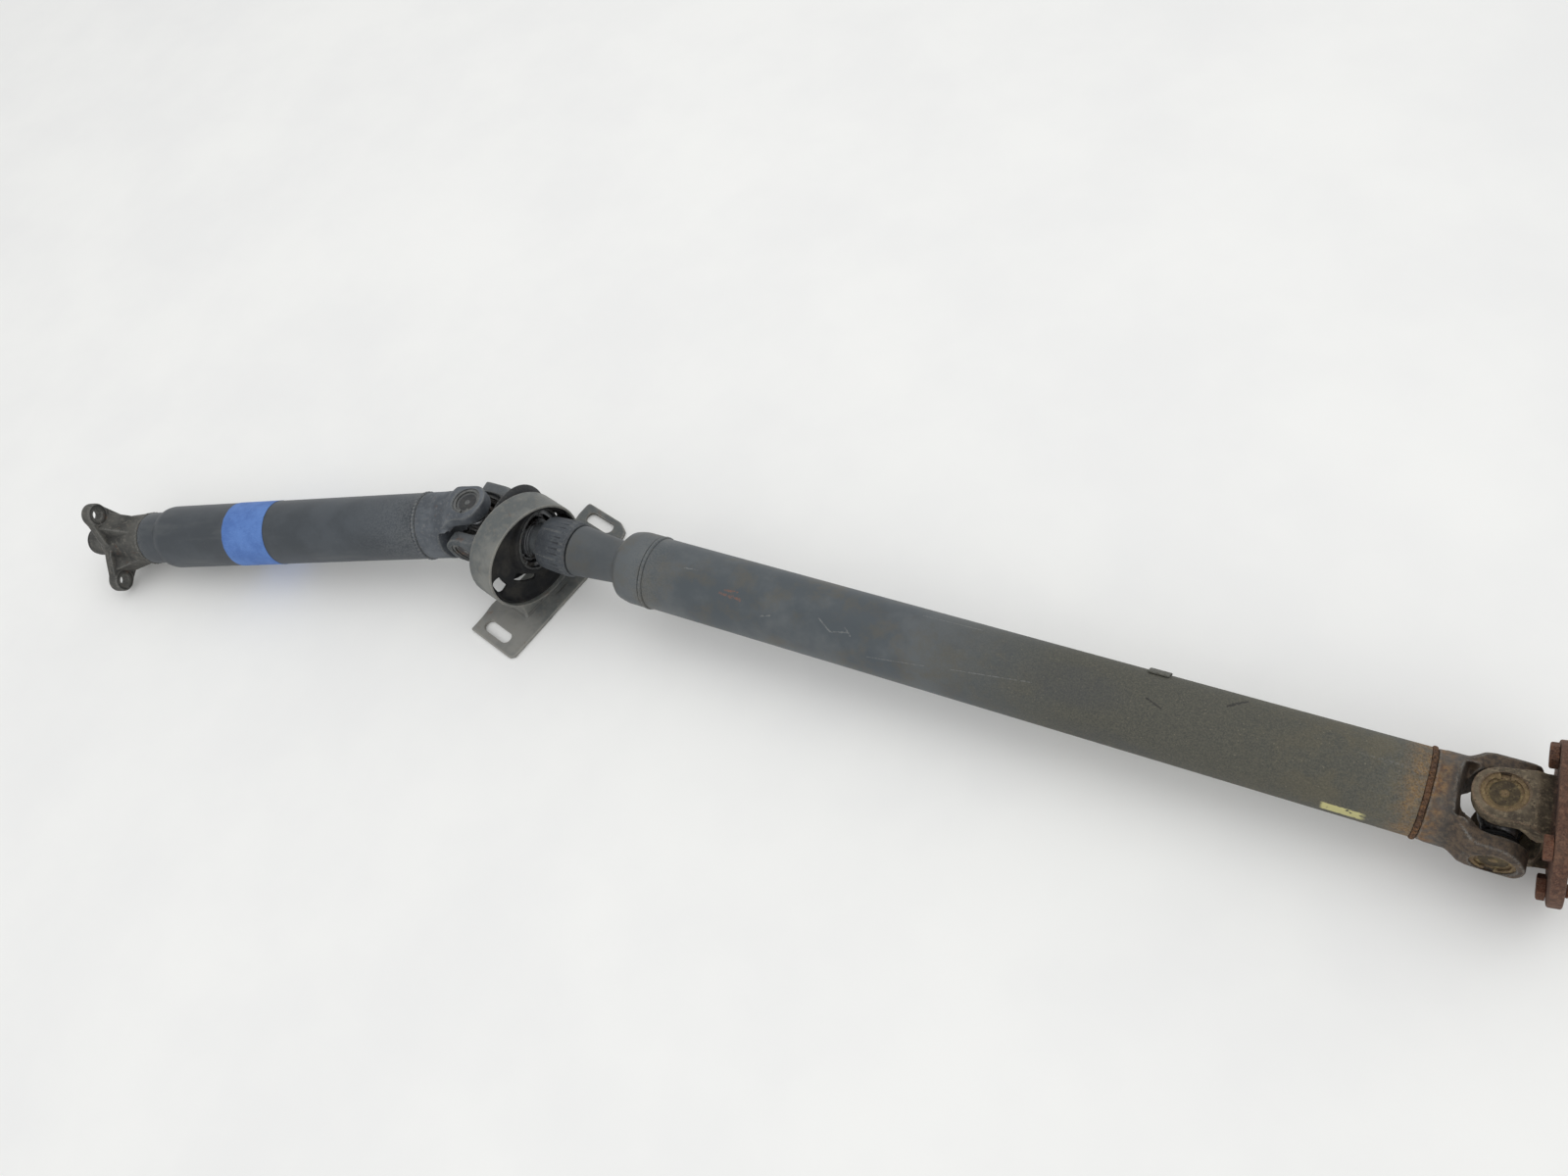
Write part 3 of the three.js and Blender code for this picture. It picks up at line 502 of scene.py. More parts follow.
def machined(name, colour, section, roughness=0.3):
    fin = Finish(name, section)
    turned_lines = fin.noise(0.6, 3, 0.6, (6, 0.6, 0.6))
    grease = fin.noise(0.06, 5, 0.65)
    tone = fin.tint(grease.rise(0.4, 0.62), colour, srgb(54, 50, 46))
    tone = fin.tint(fin.crease() * 0.5, tone, srgb(34, 32, 30))
    return fin.coat(tone, (roughness + grease * 0.3).clip(), 0.85,
                    fin.bump(turned_lines, 0.00012, 0.4))

def dusty_rubber(name, section):
    fin = Finish(name, section)
    dust, fine = fin.noise(0.05, 5, 0.65), fin.noise(0.8, 4, 0.6)
    cracks = fin.cells(0.35, "DISTANCE_TO_EDGE").rise(0.06, 0.0) * dust.rise(0.4, 0.6)
    tone = fin.tint(dust.rise(0.4, 0.68) * 0.7, srgb(27, 28, 30), srgb(62, 60, 56))
    tone = fin.tint(cracks * 0.6, tone, srgb(14, 14, 15))
    return fin.coat(tone, (0.72 + dust * 0.15).clip(), 0.0,
                    fin.bump(fine * 0.5 - cracks * 0.8, 0.0005, 0.5), 0.3)

def crepe_tape():
    fin = Finish("blue crepe tape", FRONT)
    crimp = fin.noise(0.9, 3, 0.6, (0.35, 1.6, 1.6))
    soil, wrinkle = fin.noise(0.04, 5, 0.65), fin.noise(0.12, 3, 0.6, (0.6, 2.4, 2.4))
    tone = fin.tint(soil.rise(0.35, 0.66), srgb(88, 126, 190), srgb(72, 108, 172))
    tone = fin.tint(crimp.rise(0.5, 0.75) * 0.3, tone, srgb(118, 154, 210))
    tone = fin.tint(fin.noise(0.1, 5, 0.7, (1, 1, 1), 2.0).rise(0.6, 0.72) * 0.4, tone, srgb(58, 78, 120))
    return fin.coat(tone, 0.62 + soil * 0.1, 0.0,
                    fin.bump(crimp * 0.6 + wrinkle, 0.0004, 0.6), 0.4)

FRONT_YOKE = forged("front yoke steel", FRONT, srgb(73, 78, 84), srgb(97, 102, 108), srgb(116, 118, 119), 0.05)
SPIDER_STEEL = forged("spider flange steel", FRONT, srgb(60, 60, 58), srgb(88, 87, 83), srgb(118, 114, 106), 0.07)
CENTRE_STEEL = forged("centre yoke steel", REAR, srgb(66, 71, 74), srgb(90, 94, 97), srgb(112, 112, 110), 0.06)
SHIELD_BLACK = forged("grimy black shield", REAR, srgb(32, 34, 37), srgb(44, 46, 49), srgb(70, 68, 64), 0.02)
NUT_STEEL = forged("clamp nut steel", REAR, srgb(56, 60, 66), srgb(72, 77, 83), srgb(92, 95, 96), 0.03)
REAR_YOKE_STEEL = forged("rear yoke steel", REAR_YOKE, srgb(60, 64, 65), srgb(82, 86, 86), srgb(98, 97, 89), 0.06,
                         weld_at=REAR_JOINT - REAR_WELD, ends_at=40.0)
REAR_EAR_STEEL = rusted("rear flange rust", FLANGE, srgb(64, 56, 46), srgb(104, 93, 76), srgb(142, 128, 104), 0.72, 25.0)
BOLT_RUST = rusted("flange bolt rust", FLANGE, srgb(56, 34, 28), srgb(92, 56, 42), srgb(132, 88, 62))
WELD_RUST = rusted("rear weld rust", REAR, srgb(44, 31, 24), srgb(82, 56, 36), srgb(140, 100, 58), 0.85)
BRACKET_STEEL = pressed_steel()
BRIGHT_STEEL = machined("bearing steel", srgb(150, 152, 155), REAR)
CUP_FRONT = forged("cross cup steel", REAR, srgb(66, 68, 70), srgb(88, 90, 92), srgb(118, 116, 110), 0.08, 0.5)
CUP_REAR = rusted("rusty cross cup", FLANGE, srgb(72, 61, 41), srgb(112, 96, 62), srgb(148, 132, 94), 0.66)
BRONZE = machined("pilot bush bronze", srgb(160, 122, 74), FRONT, 0.35)
RUBBER, SEAL_RUBBER = dusty_rubber("worn mount rubber", STAND), dusty_rubber("seal rubber", REAR)
TAPE = crepe_tape()
print(len(bpy.data.materials), "finishes")

# %% [markdown]
# ## Geometry Nodes for what repeats round an axis
# Bearing cups, snap rings, seals, bolts, balls and spline teeth are all one shape set out
# evenly round an axis. One tree does that: it makes the points, turns a copy of the
# piece at each, realises the copies and gives them their finish.

# %% A tree that sets pieces round an axis
def round_tree():
    tree = bpy.data.node_groups.new("set round an axis", "GeometryNodeTree")
    io = tree.interface
    ids = {}
    for title, kind, value in (("Piece", "NodeSocketGeometry", None), ("Count", "NodeSocketInt", 2),
                               ("First turn", "NodeSocketFloat", 0.0), ("Out from axis", "NodeSocketFloat", 0.0),
                               ("Finish", "NodeSocketMaterial", None)):
        made = io.new_socket(title, in_out="INPUT", socket_type=kind)
        if value is not None:
            made.default_value = value
        ids[title] = made.identifier
    io.new_socket("Geometry", in_out="OUTPUT", socket_type="NodeSocketGeometry")
    def node(kind, links=(), **settings):
        n = tree.nodes.new(kind)
        for k, v in settings.items():
            setattr(n, k, v)
        for key, value in links:
            if hasattr(value, "is_output"):
                tree.links.new(value, n.inputs[key])
            else:
                n.inputs[key].default_value = value
        return n
    start = node("NodeGroupInput")
    step = node("ShaderNodeMath", [(0, 2 * math.pi), (1, start.outputs["Count"])], operation="DIVIDE")
    index = node("GeometryNodeInputIndex")
    part = node("ShaderNodeMath", [(0, index.outputs[0]), (1, step.outputs[0])], operation="MULTIPLY")
    turn = node("ShaderNodeMath", [(0, part.outputs[0]), (1, start.outputs["First turn"])], operation="ADD")
    lean = node("ShaderNodeCombineXYZ", [(0, turn.outputs[0])])
    out = node("ShaderNodeCombineXYZ", [(2, start.outputs["Out from axis"])])
    spot = node("ShaderNodeVectorRotate", [("Vector", out.outputs[0]), ("Rotation", lean.outputs[0])],
                rotation_type="EULER_XYZ")
    points = node("GeometryNodePoints", [("Count", start.outputs["Count"]), ("Position", spot.outputs[0])])
    copies = node("GeometryNodeInstanceOnPoints", [("Points", points.outputs[0]),
                  ("Instance", start.outputs["Piece"]), ("Rotation", lean.outputs[0])])
    real = node("GeometryNodeRealizeInstances", [(0, copies.outputs[0])])
    coated = node("GeometryNodeSetMaterial", [("Geometry", real.outputs[0]), ("Material", start.outputs["Finish"])])
    node("NodeGroupOutput", [(0, coated.outputs[0])])
    return tree, ids

ROUND_TREE, ROUND_IDS = round_tree()

def set_round(piece, count, first_degrees, out, material, matrix):
    mod = piece.modifiers.new("set round", "NODES")
    mod.node_group = ROUND_TREE
    mod[ROUND_IDS["Count"]] = count
    mod[ROUND_IDS["First turn"]] = math.radians(first_degrees)
    mod[ROUND_IDS["Out from axis"]] = float(out)
    mod[ROUND_IDS["Finish"]] = material
    return seat(settle(piece), matrix)

UP_FROM_X = Matrix.Rotation(math.radians(-90), 4, "Y")
print("tree inputs", sorted(ROUND_IDS))

# %% [markdown]
# ## Cross joints
# A cross has four ground trunnions. Needle bearing cups slip over them and sit in the
# yoke ears, each held by a snap ring in a groove, with a rubber seal at its root. The
# cross body is forged, so its shapes are melted together; cups, rings and seals are
# turned once and set round the shaft axis by the tree.

# %% Cross joint pieces
def cross_piece(name, matrix, body, node, seal_nodes):
    bm = bmesh.new()
    bmesh.ops.create_uvsphere(bm, u_segments=48, v_segments=32, radius=15.2)
    for turn in (UP_FROM_X, Matrix.Rotation(math.radians(90), 4, "Z")):
        spun(bm, [(-16.0, 0), (-16.0, 9.6), (-14, 11.4), (14, 11.4), (16.0, 9.6), (16.0, 0)], 64, turn)
        spun(bm, [(-31.8, 0), (-31.8, 7.8), (-31, 8.5), (31, 8.5), (31.8, 7.8), (31.8, 0)], 64, turn)
    core = melt(from_bmesh(name, bm), 0.8, 5)
    finish_piece(seat(core, matrix), body, "bright_steel", BRIGHT_STEEL, node)
    bm = bmesh.new()
    spun(bm, rounded([(16.7, TRUNNION_R + 1), (16.7, 12), (18.0, 13.3), (19.2, 12.7), (19.8, 13.3),
                      (21.0, 13.3), (21.0, TRUNNION_R + 1)], 0.4), 64, UP_FROM_X)
    seals = set_round(from_bmesh(name + "_seals", bm), 4, 0, 0, SEAL_RUBBER, matrix)
    finish_piece(seals, body, "black_rubber", SEAL_RUBBER, *seal_nodes)

def cups_and_rings(prefix, sides, first, matrix, body, cup_finish):
    bm = bmesh.new()
    face = EAR_OUTER - 3.2
    spun(bm, [(EAR_INNER - 2.4, TRUNNION_R + 0.4), (EAR_INNER - 2.4, CUP_R - 0.3), (EAR_INNER - 2.1, CUP_R),
              (face - 0.9, CUP_R), (face - 0.2, CUP_R - 0.8), (face, CUP_R - 1.5), (face - 0.1, 9.6),
              (face - 0.6, 8.9), (face - 0.6, 3.2), (face - 0.2, 2.6), (face - 0.2, 0),
              (face - 2.2, 0), (face - 2.2, TRUNNION_R + 0.4)], 96, UP_FROM_X)
    cups = set_round(from_bmesh(prefix + "_cups", bm), 2, first, 0, cup_finish, matrix)
    finish_piece(cups, body, "forged_steel", cup_finish, *[f"{prefix}_cup_{s}" for s in sides])
    outer = arc(0, 0, CUP_R + 0.3, 14, 346, 84)
    inner = [(r * math.cos(a), r * math.sin(a)) for a, r in
             ((math.radians(346 - 332 * i / 84), CUP_R - 2.6 - (1.6 if i in (1, 2, 3, 81, 82, 83) else 0)) for i in range(85))]
    bm = bmesh.new()
    prism(bm, outer + inner, EAR_OUTER - 2.8, EAR_OUTER - 1.7, UP_FROM_X)
    rings = set_round(from_bmesh(prefix + "_snap_rings", bm), 2, first, 0, BRIGHT_STEEL, matrix)
    finish_piece(rings, body, "bright_steel", CUP_REAR if cup_finish is CUP_REAR else CUP_FRONT,
                 *[f"{prefix}_ring_{s}" for s in sides])

FOUR = ("top", "bottom", "left", "right")
cross_piece("centre_cross_forging", CENTRE_CROSS, "centre_cross", "centre_cross",
            [f"centre_seal_{s}" for s in FOUR])
cross_piece("rear_cross_forging", REAR_CROSS, "rear_cross", "rear_cross",
            [f"rear_seal_{s}" for s in FOUR])
cups_and_rings("front_yoke", ("top", "bottom"), 0, FRONT, "front_shaft", CUP_FRONT)
cups_and_rings("centre_yoke", ("left", "right"), 90, REAR, "centre_shaft", CUP_FRONT)
cups_and_rings("rear_yoke", ("left", "right"), 90, REAR_YOKE, "rear_shaft", CUP_REAR)
cups_and_rings("flange_yoke", ("top", "bottom"), 0, FLANGE, "rear_flange", CUP_REAR)

# %% [markdown]
# ## Yokes
# A yoke is a two-eared fork forged in one heat. The ears are cut from a flat outline
# and trimmed by a round envelope, the throat between them is a U, and everything melts
# into one skin. The cup bores and their snap ring grooves are machined last.
#
# The other yoke's ears need room to swing in the throat. That room is cut from the plain
# solids before they melt, because the same cut on the melted skin makes a later boolean
# fail without a word.

# %% Yoke forging
UPRIGHT = Matrix(((0, 1, 0, 0), (0, 0, 1, 0), (1, 0, 0, 0), (0, 0, 0, 1)))
SIDEWAYS = Matrix(((0, 0, 1, 0), (1, 0, 0, 0), (0, 1, 0, 0), (0, 0, 0, 1)))
QUARTER = Matrix.Rotation(math.radians(90), 4, "X")

def bore_tool():
    half = [(35.05, CUP_R + 0.2), (35.05, CUP_R + 0.75), (36.5, CUP_R + 0.75), (36.5, CUP_R + 0.2),
            (EAR_OUTER - 0.7, CUP_R + 0.2), (EAR_OUTER + 0.4, CUP_R + 1.3), (60, CUP_R + 1.3), (60, 0)]
    bm = bmesh.new()
    spun(bm, [(-x, r) for x, r in half[::-1]] + half, 96, UP_FROM_X)
    return from_bmesh("bore tool", bm)

def yoke_ears(reach):
    outline = ([(reach, -25), (reach, 25), (24, 22.5), (12, 19.9)] + arc(0, 0, EAR_R, 90, 270, 48)
               + [(12, -19.9), (24, -22.5)])
    bm = bmesh.new()
    prism(bm, outline, EAR_INNER, EAR_OUTER + 0.2, UPRIGHT)
    prism(bm, outline, -EAR_OUTER - 0.2, -EAR_INNER, UPRIGHT)
    ears = from_bmesh("ears", bm)
    bm = bmesh.new()
    spun(bm, [(-30, 0), (-30, 39.7), (13, 39.7), (19, 38.6), (24, 35.2), (28, TUBE_R + 0.5),
              (60, TUBE_R + 0.5), (60, 0)], 96)
    return boolean(ears, from_bmesh("envelope", bm), "INTERSECT")

def ear_roots(base):
    """The thick roots of both ears: a tapered round block with a U cut through it."""
    centre, back = base - EAR_INNER, base + 8
    bm = bmesh.new()
    prism(bm, arc(0, centre, EAR_INNER, 0, 180, 40) + [(-30, centre), (-30, back), (30, back), (30, centre)],
          -31, 31, SIDEWAYS)
    roots = from_bmesh("ear roots", bm)
    side = [(back + 1, 31), (base + 3, 30.5), (base - 3, 26.5), (base - 9, 22), (base - 16, 18.5), (centre - 1, 17)]
    bm = bmesh.new()
    prism(bm, side + [(x, -y) for x, y in side[::-1]], -31, 31, UPRIGHT)
    boolean(roots, from_bmesh("taper", bm), "INTERSECT")
    bm = bmesh.new()
    spun(bm, [(-10, 0), (-10, TUBE_R + 0.3), (60, TUBE_R + 0.3), (60, 0)], 96)
    return boolean(roots, from_bmesh("round", bm), "INTERSECT")

def swing_room(limit, way):
    """Room in the throat for the other yoke's ears, out to the joint's limit each way."""
    tip, near, far = EAR_R + SWING_GAP, EAR_INNER - SWING_GAP, EAR_OUTER + 6
    corner, start = math.hypot(tip, near), math.degrees(math.atan2(near, tip))
    outer, top = math.hypot(tip, far), math.degrees(math.atan2(far, tip))
    side = ([(-4, near)] + arc(0, 0, corner, start, start - limit, 6)
            + arc(0, 0, outer, top - limit, top, 6) + [(-4, far)])
    bm = bmesh.new()
    prism(bm, [(x, way * y) for x, y in side], -tip, tip, UPRIGHT)
    return from_bmesh("swing room", bm)

def yoke_forging(name, reach, body_profile, base, limit, hub_profile=None):
    ears = yoke_ears(reach)
    bm = bmesh.new()
    bm.from_mesh(ears.data)
    bpy.data.objects.remove(ears)
    body = bmesh.new()
    spun(body, body_profile, 96)
    parts = [ear_roots(base), from_bmesh("round body", body)]
    if hub_profile:
        hub = bmesh.new()
        spun(hub, hub_profile, 96)
        parts.append(from_bmesh("hub", hub))
    for part in parts:
        for side in (1, -1):
            boolean(part, swing_room(limit, side))
        bm.from_mesh(part.data)
        bpy.data.objects.remove(part)
    forging = melt(from_bmesh(name, bm), 0.9, 7)
    return boolean(forging, bore_tool())

def tube_yoke(name, weld, limit):
    base = YOKE_BASE
    profile = [(base, 0), (base, 20), (base + 1.5, TUBE_R - 4.5), (base + 5, TUBE_R), (weld - 1.9, TUBE_R),
               (weld - 1.9, TUBE_R - 5.2), (weld + 10, TUBE_R - TUBE_WALL - 0.5), (weld + 10, 22),
               (base + 12, 21), (base + 12, 0)]
    return yoke_forging(name, 42, profile, base, limit)

finish_piece(seat(tube_yoke("front_yoke_forging", FRONT_WELD, CENTRE_SWING), FRONT), "front_shaft", "forged_steel",
             FRONT_YOKE, "front_tube_yoke")
quarter_rear = REAR_YOKE @ QUARTER
finish_piece(seat(tube_yoke("rear_yoke_forging", REAR_JOINT - REAR_WELD, REAR_SWING), quarter_rear), "rear_shaft",
             "forged_steel", REAR_YOKE_STEEL, "rear_tube_yoke")

# %% [markdown]
# ## Centre yoke, splines and sliding stub
# The centre yoke carries the support bearing on a hollow journal with a splined hole.
# The long tube's stub slides in it. The spline teeth are one tooth set round twelve
# times, then joined to the shaft or cut out of the journal.

# %% Centre yoke and stub
def spline_teeth(x0, x1, root, tip, grow):
    w = math.pi / 12
    flank = [(root - 1.5, -0.62 * w), (root, -0.62 * w), (tip, -0.36 * w),
             (tip, 0.36 * w), (root, 0.62 * w), (root - 1.5, 0.62 * w)]
    bm = bmesh.new()
    prism(bm, [((r + grow) * math.sin(a) * (1 + grow / 12), (r + grow) * math.cos(a)) for r, a in flank], x0, x1)
    return set_round(from_bmesh("teeth", bm), 12, 0, 0, BRIGHT_STEEL, Matrix())

def centre_yoke():
    base = YOKE_BASE
    head = yoke_forging("centre_yoke_forging", 41.5,
                        [(base, 0), (base, 20), (base + 1.5, 28), (base + 4, 31.6), (42.6, 31.6), (43.4, 29), (43.4, 0)],
                        base, CENTRE_SWING)
    head.data.transform(QUARTER)
    bm = bmesh.new()
    spun(bm, rounded([(38, 0), (38, 17.5), (47.5, 17.5), (47.5, 15), (72, 15), (73, 14.4), (98, 14.4), (98, 0)], 0.3), 96)
    boolean(head, from_bmesh("journal", bm), "UNION")
    bm = bmesh.new()
    spun(bm, [(58, 0), (58, 9.9), (118, 9.9), (118, 0)], 96)
    hole = from_bmesh("hole", bm)
    boolean(hole, spline_teeth(58, 118, 9.6, 11.2, 0.3), "UNION")
    return boolean(head, hole)

finish_piece(seat(centre_yoke(), REAR), "centre_shaft", "forged_steel", CENTRE_STEEL, "centre_yoke")

stub_profile = rounded([(105, 0), (105, 19.6), (112.6, 20.2), (113.2, 23.2), (113.8, 23.6), (116, 23.5),
                (157, 19.9), (162, 20.1), (164.5, 22), (166, 25), (168.2, 28.5), (171.5, 31.4), (176, TUBE_R),
                (181, TUBE_R + 0.9), (STEP_RING - 1.9, TUBE_R + 0.9), (STEP_RING - 1.9, TUBE_R - 3.5),
                (177, 24), (173, 0)], 1.2)
bm = bmesh.new()
spun(bm, stub_profile, ROUND)
stub = from_bmesh("rear_stub_turned", bm)
bm = bmesh.new()
spun(bm, [(62, 0), (62, 9.2), (110, 9.2), (110, 0)], 72)
boolean(stub, from_bmesh("spline rod", bm), "UNION")
boolean(stub, spline_teeth(62, 94, 9.4, 11.2, 0.0), "UNION")
finish_piece(seat(stub, REAR), "rear_shaft", "tube_paint", REAR_PAINT, "rear_splined_stub")

# %% [markdown]
# ## Tubes and weld beads
# The tubes are drawn steel with a thin wall, so each is a hollow turned profile. A weld
# bead is a ring laid in overlapping puddles: its height rises and falls with the angle,
# a little unevenly, as the torch moved.

# %% Tubes
finish_piece(turned("front_tube_wall", [
    (FRONT_WELD + 2, TUBE_R - TUBE_WALL), (FRONT_WELD + 2, TUBE_R), (150, TUBE_R), (260, TUBE_R),
    (FRONT_SHOULDER - 2, TUBE_R), (FRONT_SHOULDER + 3, TUBE_R - 1.1), (FRONT_SHOULDER + 6.5, TUBE_R - 3.6),
    (FRONT_SHOULDER + 9, NECK_R), (FRONT_TUBE_END, NECK_R), (FRONT_TUBE_END, NECK_R - TUBE_WALL),
    (FRONT_SHOULDER + 6, NECK_R - TUBE_WALL), (FRONT_SHOULDER + 3, TUBE_R - 5), (FRONT_SHOULDER - 3, TUBE_R - TUBE_WALL)],
    FRONT, ease=1.8), "front_shaft", "tube_paint", FRONT_PAINT, "front_tube")
finish_piece(turned("rear_tube_wall", [(STEP_RING + 2, TUBE_R - TUBE_WALL), (STEP_RING + 2, TUBE_R)]
    + [(x, TUBE_R) for x in range(240, 810, 60)] + [(REAR_WELD - 2, TUBE_R), (REAR_WELD - 2, TUBE_R - TUBE_WALL)],
    REAR), "rear_shaft", "tube_paint", REAR_PAINT, "rear_tube")

def weld_bead(name, x, half, r_low, r_top, puddles, seed, matrix, ripple=0.26):
    """A ring whose skin ripples once for each puddle."""
    rng = random.Random(seed)
    drift = [rng.uniform(-1, 1) for _ in range(24)]
    bm, loops, steps = bmesh.new(), [], 360
    for i in range(steps):
        t = i / steps
        puddle = (t * puddles) % 1.0
        k = t * 24
        slow = drift[int(k) % 24] * (1 - k % 1) + drift[(int(k) + 1) % 24] * (k % 1)
        crown = (r_top - r_low) * (1 - ripple + ripple * abs(math.sin(math.pi * puddle)) + 0.4 * ripple * slow)
        side = half * (0.90 + 0.10 * abs(math.sin(math.pi * puddle)))
        ring = [(x - half, r_low)]
        for j in range(9):
            a = math.pi * j / 8
            ring.append((x - side * math.cos(a) + 0.25 * slow, r_low + 0.8 + (crown - 0.8) * math.sin(a) ** 0.7))
        ring.append((x + half, r_low))
        turn = 2 * math.pi * t
        loops.append([bm.verts.new((u, r * math.sin(turn), r * math.cos(turn))) for u, r in ring])
    for a, b in zip(loops, loops[1:] + loops[:1]):
        for j in range(len(a)):
            bm.faces.new((a[j], a[(j + 1) % len(a)], b[(j + 1) % len(a)], b[j]))
    return from_bmesh(name, bm, matrix)

finish_piece(weld_bead("front_yoke_weld", FRONT_WELD, 1.8, TUBE_R - 1.5, TUBE_R + 1.2, 52, 4, FRONT),
             "front_shaft", "forged_steel", FRONT_YOKE, "front_weld_bead")
finish_piece(weld_bead("neck_weld", FRONT_TUBE_END + 1.5, 1.3, NECK_R - 1.6, NECK_R + 0.8, 44, 5, FRONT),
             "front_shaft", "forged_steel", SPIDER_STEEL, "front_neck_weld")
finish_piece(weld_bead("step_weld", STEP_RING, 1.95, TUBE_R - 1.8, TUBE_R + 1.5, 50, 6, REAR, 0.10),
             "rear_shaft", "tube_paint", REAR_PAINT, "rear_step_weld")
finish_piece(weld_bead("rear_yoke_weld", REAR_WELD, 1.9, TUBE_R - 1.5, TUBE_R + 1.3, 46, 7, REAR, 0.14),
             "rear_shaft", "rusty_weld", WELD_RUST, "rear_weld_bead")

# %% [markdown]
# ## Tape and balance plate
# The blue band is one strip of crepe tape wound a bit more than once, so its end lies on
# the first lap and its edges don't quite meet. The balance plate is a small bent strip
# with two spot weld dimples.

# %% Tape and balance plate
def wound_tape():
    rng = random.Random(11)
    bm, rows, laps, steps = bmesh.new(), [], 1.22, 300
    nick = [rng.uniform(-0.35, 0.35) for _ in range(60)]
    for i in range(steps + 1):
        t = laps * i / steps
        a = math.radians(250) - 2 * math.pi * t
        lift = 0.24 + 0.2 * min(1.0, max(0.0, (t - 0.94) / 0.06))
        shift = 4.2 * t - 1.2
        ragged = nick[int(i / steps * 59)]
        row = []
        x0, x1 = 237 + shift * 0.35 + ragged * 0.4, 287.0 + shift + ragged
        for j in range(13):
            x = x0 + (x1 - x0) * j / 12
            pucker = 0.05 * math.sin(9 * a + x * 0.21) * math.sin(x * 0.35)
            r = TUBE_R + lift + pucker * 0.7
            row.append(bm.verts.new((x, r * math.cos(a), r * math.sin(a))))
        rows.append(row)
    for a, b in zip(rows, rows[1:]):
        for j in range(12):
            bm.faces.new((a[j], a[j + 1], b[j + 1], b[j]))
    tape = from_bmesh("crepe_tape_band", bm)
    wall = tape.modifiers.new("thickness", "SOLIDIFY")
    wall.thickness, wall.offset = 0.16, 0.0
    return seat(settle(tape), FRONT)

finish_piece(wound_tape(), "front_shaft", "blue_tape", TAPE, "tape_band")

bm = bmesh.new()
strip = [(r * math.cos(math.radians(a)), r * math.sin(math.radians(a))) for r, angles in
         ((TUBE_R + 0.3, range(18, 51, 2)), (TUBE_R + 1.9, range(50, 17, -2))) for a in angles]
prism(bm, strip, 634, 650)
plate = from_bmesh("balance_strip", bm)
soft_edge = plate.modifiers.new("edge", "BEVEL")
soft_edge.width, soft_edge.segments, soft_edge.limit_method = 0.5, 3, "ANGLE"
settle(plate)
for spot in (638, 646):
    bm = bmesh.new()
    middle = math.radians(34)
    bmesh.ops.create_uvsphere(bm, u_segments=24, v_segments=16, radius=2.6, matrix=Matrix.Translation(
        (spot, (TUBE_R + 4.0) * math.cos(middle), (TUBE_R + 4.0) * math.sin(middle))))
    boolean(plate, from_bmesh("dimple", bm))
finish_piece(seat(plate, REAR), "rear_shaft", "forged_steel", REAR_PAINT, "balance_plate")

# %% [markdown]
# ## Front spider flange
# Three arms with round bosses carry the bolts of a rubber coupling. The forging is a
# tapered hub, three arms and three sloping ribs melted into one, then the boss faces,
# bolt holes and pilot bore are machined.

# %% Spider flange
SPIDER_ANGLES = (92, 212, 332)
def spider_flange():
    bm = bmesh.new()
    spun(bm, [(FRONT_TUBE_END + 3, 0), (FRONT_TUBE_END + 3, NECK_R - 0.6), (FRONT_TUBE_END + 14, NECK_R - 1),
              (SPIDER_BACK - 12, 23), (SPIDER_BACK + SPIDER_THICK + 4, 22), (SPIDER_BACK + SPIDER_THICK + 7, 16.7),
              (HUB_FRONT, 15.6), (HUB_FRONT, 0)], 96)
    for deg in SPIDER_ANGLES:
        turn = Matrix.Rotation(math.radians(deg), 4, "X")
        prism(bm, [(0, -21), (20, -19), (ARM_R, -BOSS_R)] + arc(ARM_R, 0, BOSS_R, -90, 90, 32) + [(20, 19), (0, 21)],
              SPIDER_BACK + 0.6, SPIDER_BACK + SPIDER_THICK - 0.6, turn)
        spun(bm, [(SPIDER_BACK - 0.6, 0), (SPIDER_BACK - 0.6, BOSS_R - 0.6), (SPIDER_BACK + SPIDER_THICK + 0.6, BOSS_R - 0.6),
                  (SPIDER_BACK + SPIDER_THICK + 0.6, 0)], 64, turn @ Matrix.Translation((0, ARM_R, 0)))
        rib = [(FRONT_TUBE_END + 10, 0), (FRONT_TUBE_END + 10, NECK_R - 3), (SPIDER_BACK + 3, ARM_R - 9), (SPIDER_BACK + 3, 0)]
        prism(bm, rib, -11, 11, turn @ UPRIGHT)
    flange = melt(from_bmesh("spider_forging", bm), 0.85, 8)
    bm = bmesh.new()
    for deg in SPIDER_ANGLES:
        turn = Matrix.Rotation(math.radians(deg), 4, "X") @ Matrix.Translation((0, ARM_R, 0))
        spun(bm, [(SPIDER_BACK - 8, 0), (SPIDER_BACK - 8, 10.6), (SPIDER_BACK, 10.4), (SPIDER_BACK, 6.1), (SPIDER_BACK + 0.8, 5.3),
                  (SPIDER_BACK + SPIDER_THICK - 0.8, 5.3), (SPIDER_BACK + SPIDER_THICK, 6.1), (SPIDER_BACK + SPIDER_THICK, 12.6),
                  (SPIDER_BACK + SPIDER_THICK + 6, 12.8), (SPIDER_BACK + SPIDER_THICK + 6, 0)], 64, turn)
    boolean(flange, from_bmesh("boss tools", bm))
    bm = bmesh.new()
    spun(bm, [(HUB_FRONT - 26, 0), (HUB_FRONT - 26, PILOT_R + 2.7), (HUB_FRONT - 0.8, PILOT_R + 2.7),
              (HUB_FRONT + 3, PILOT_R + 6), (HUB_FRONT + 3, 0)], 96)
    return boolean(flange, from_bmesh("pilot tool", bm))

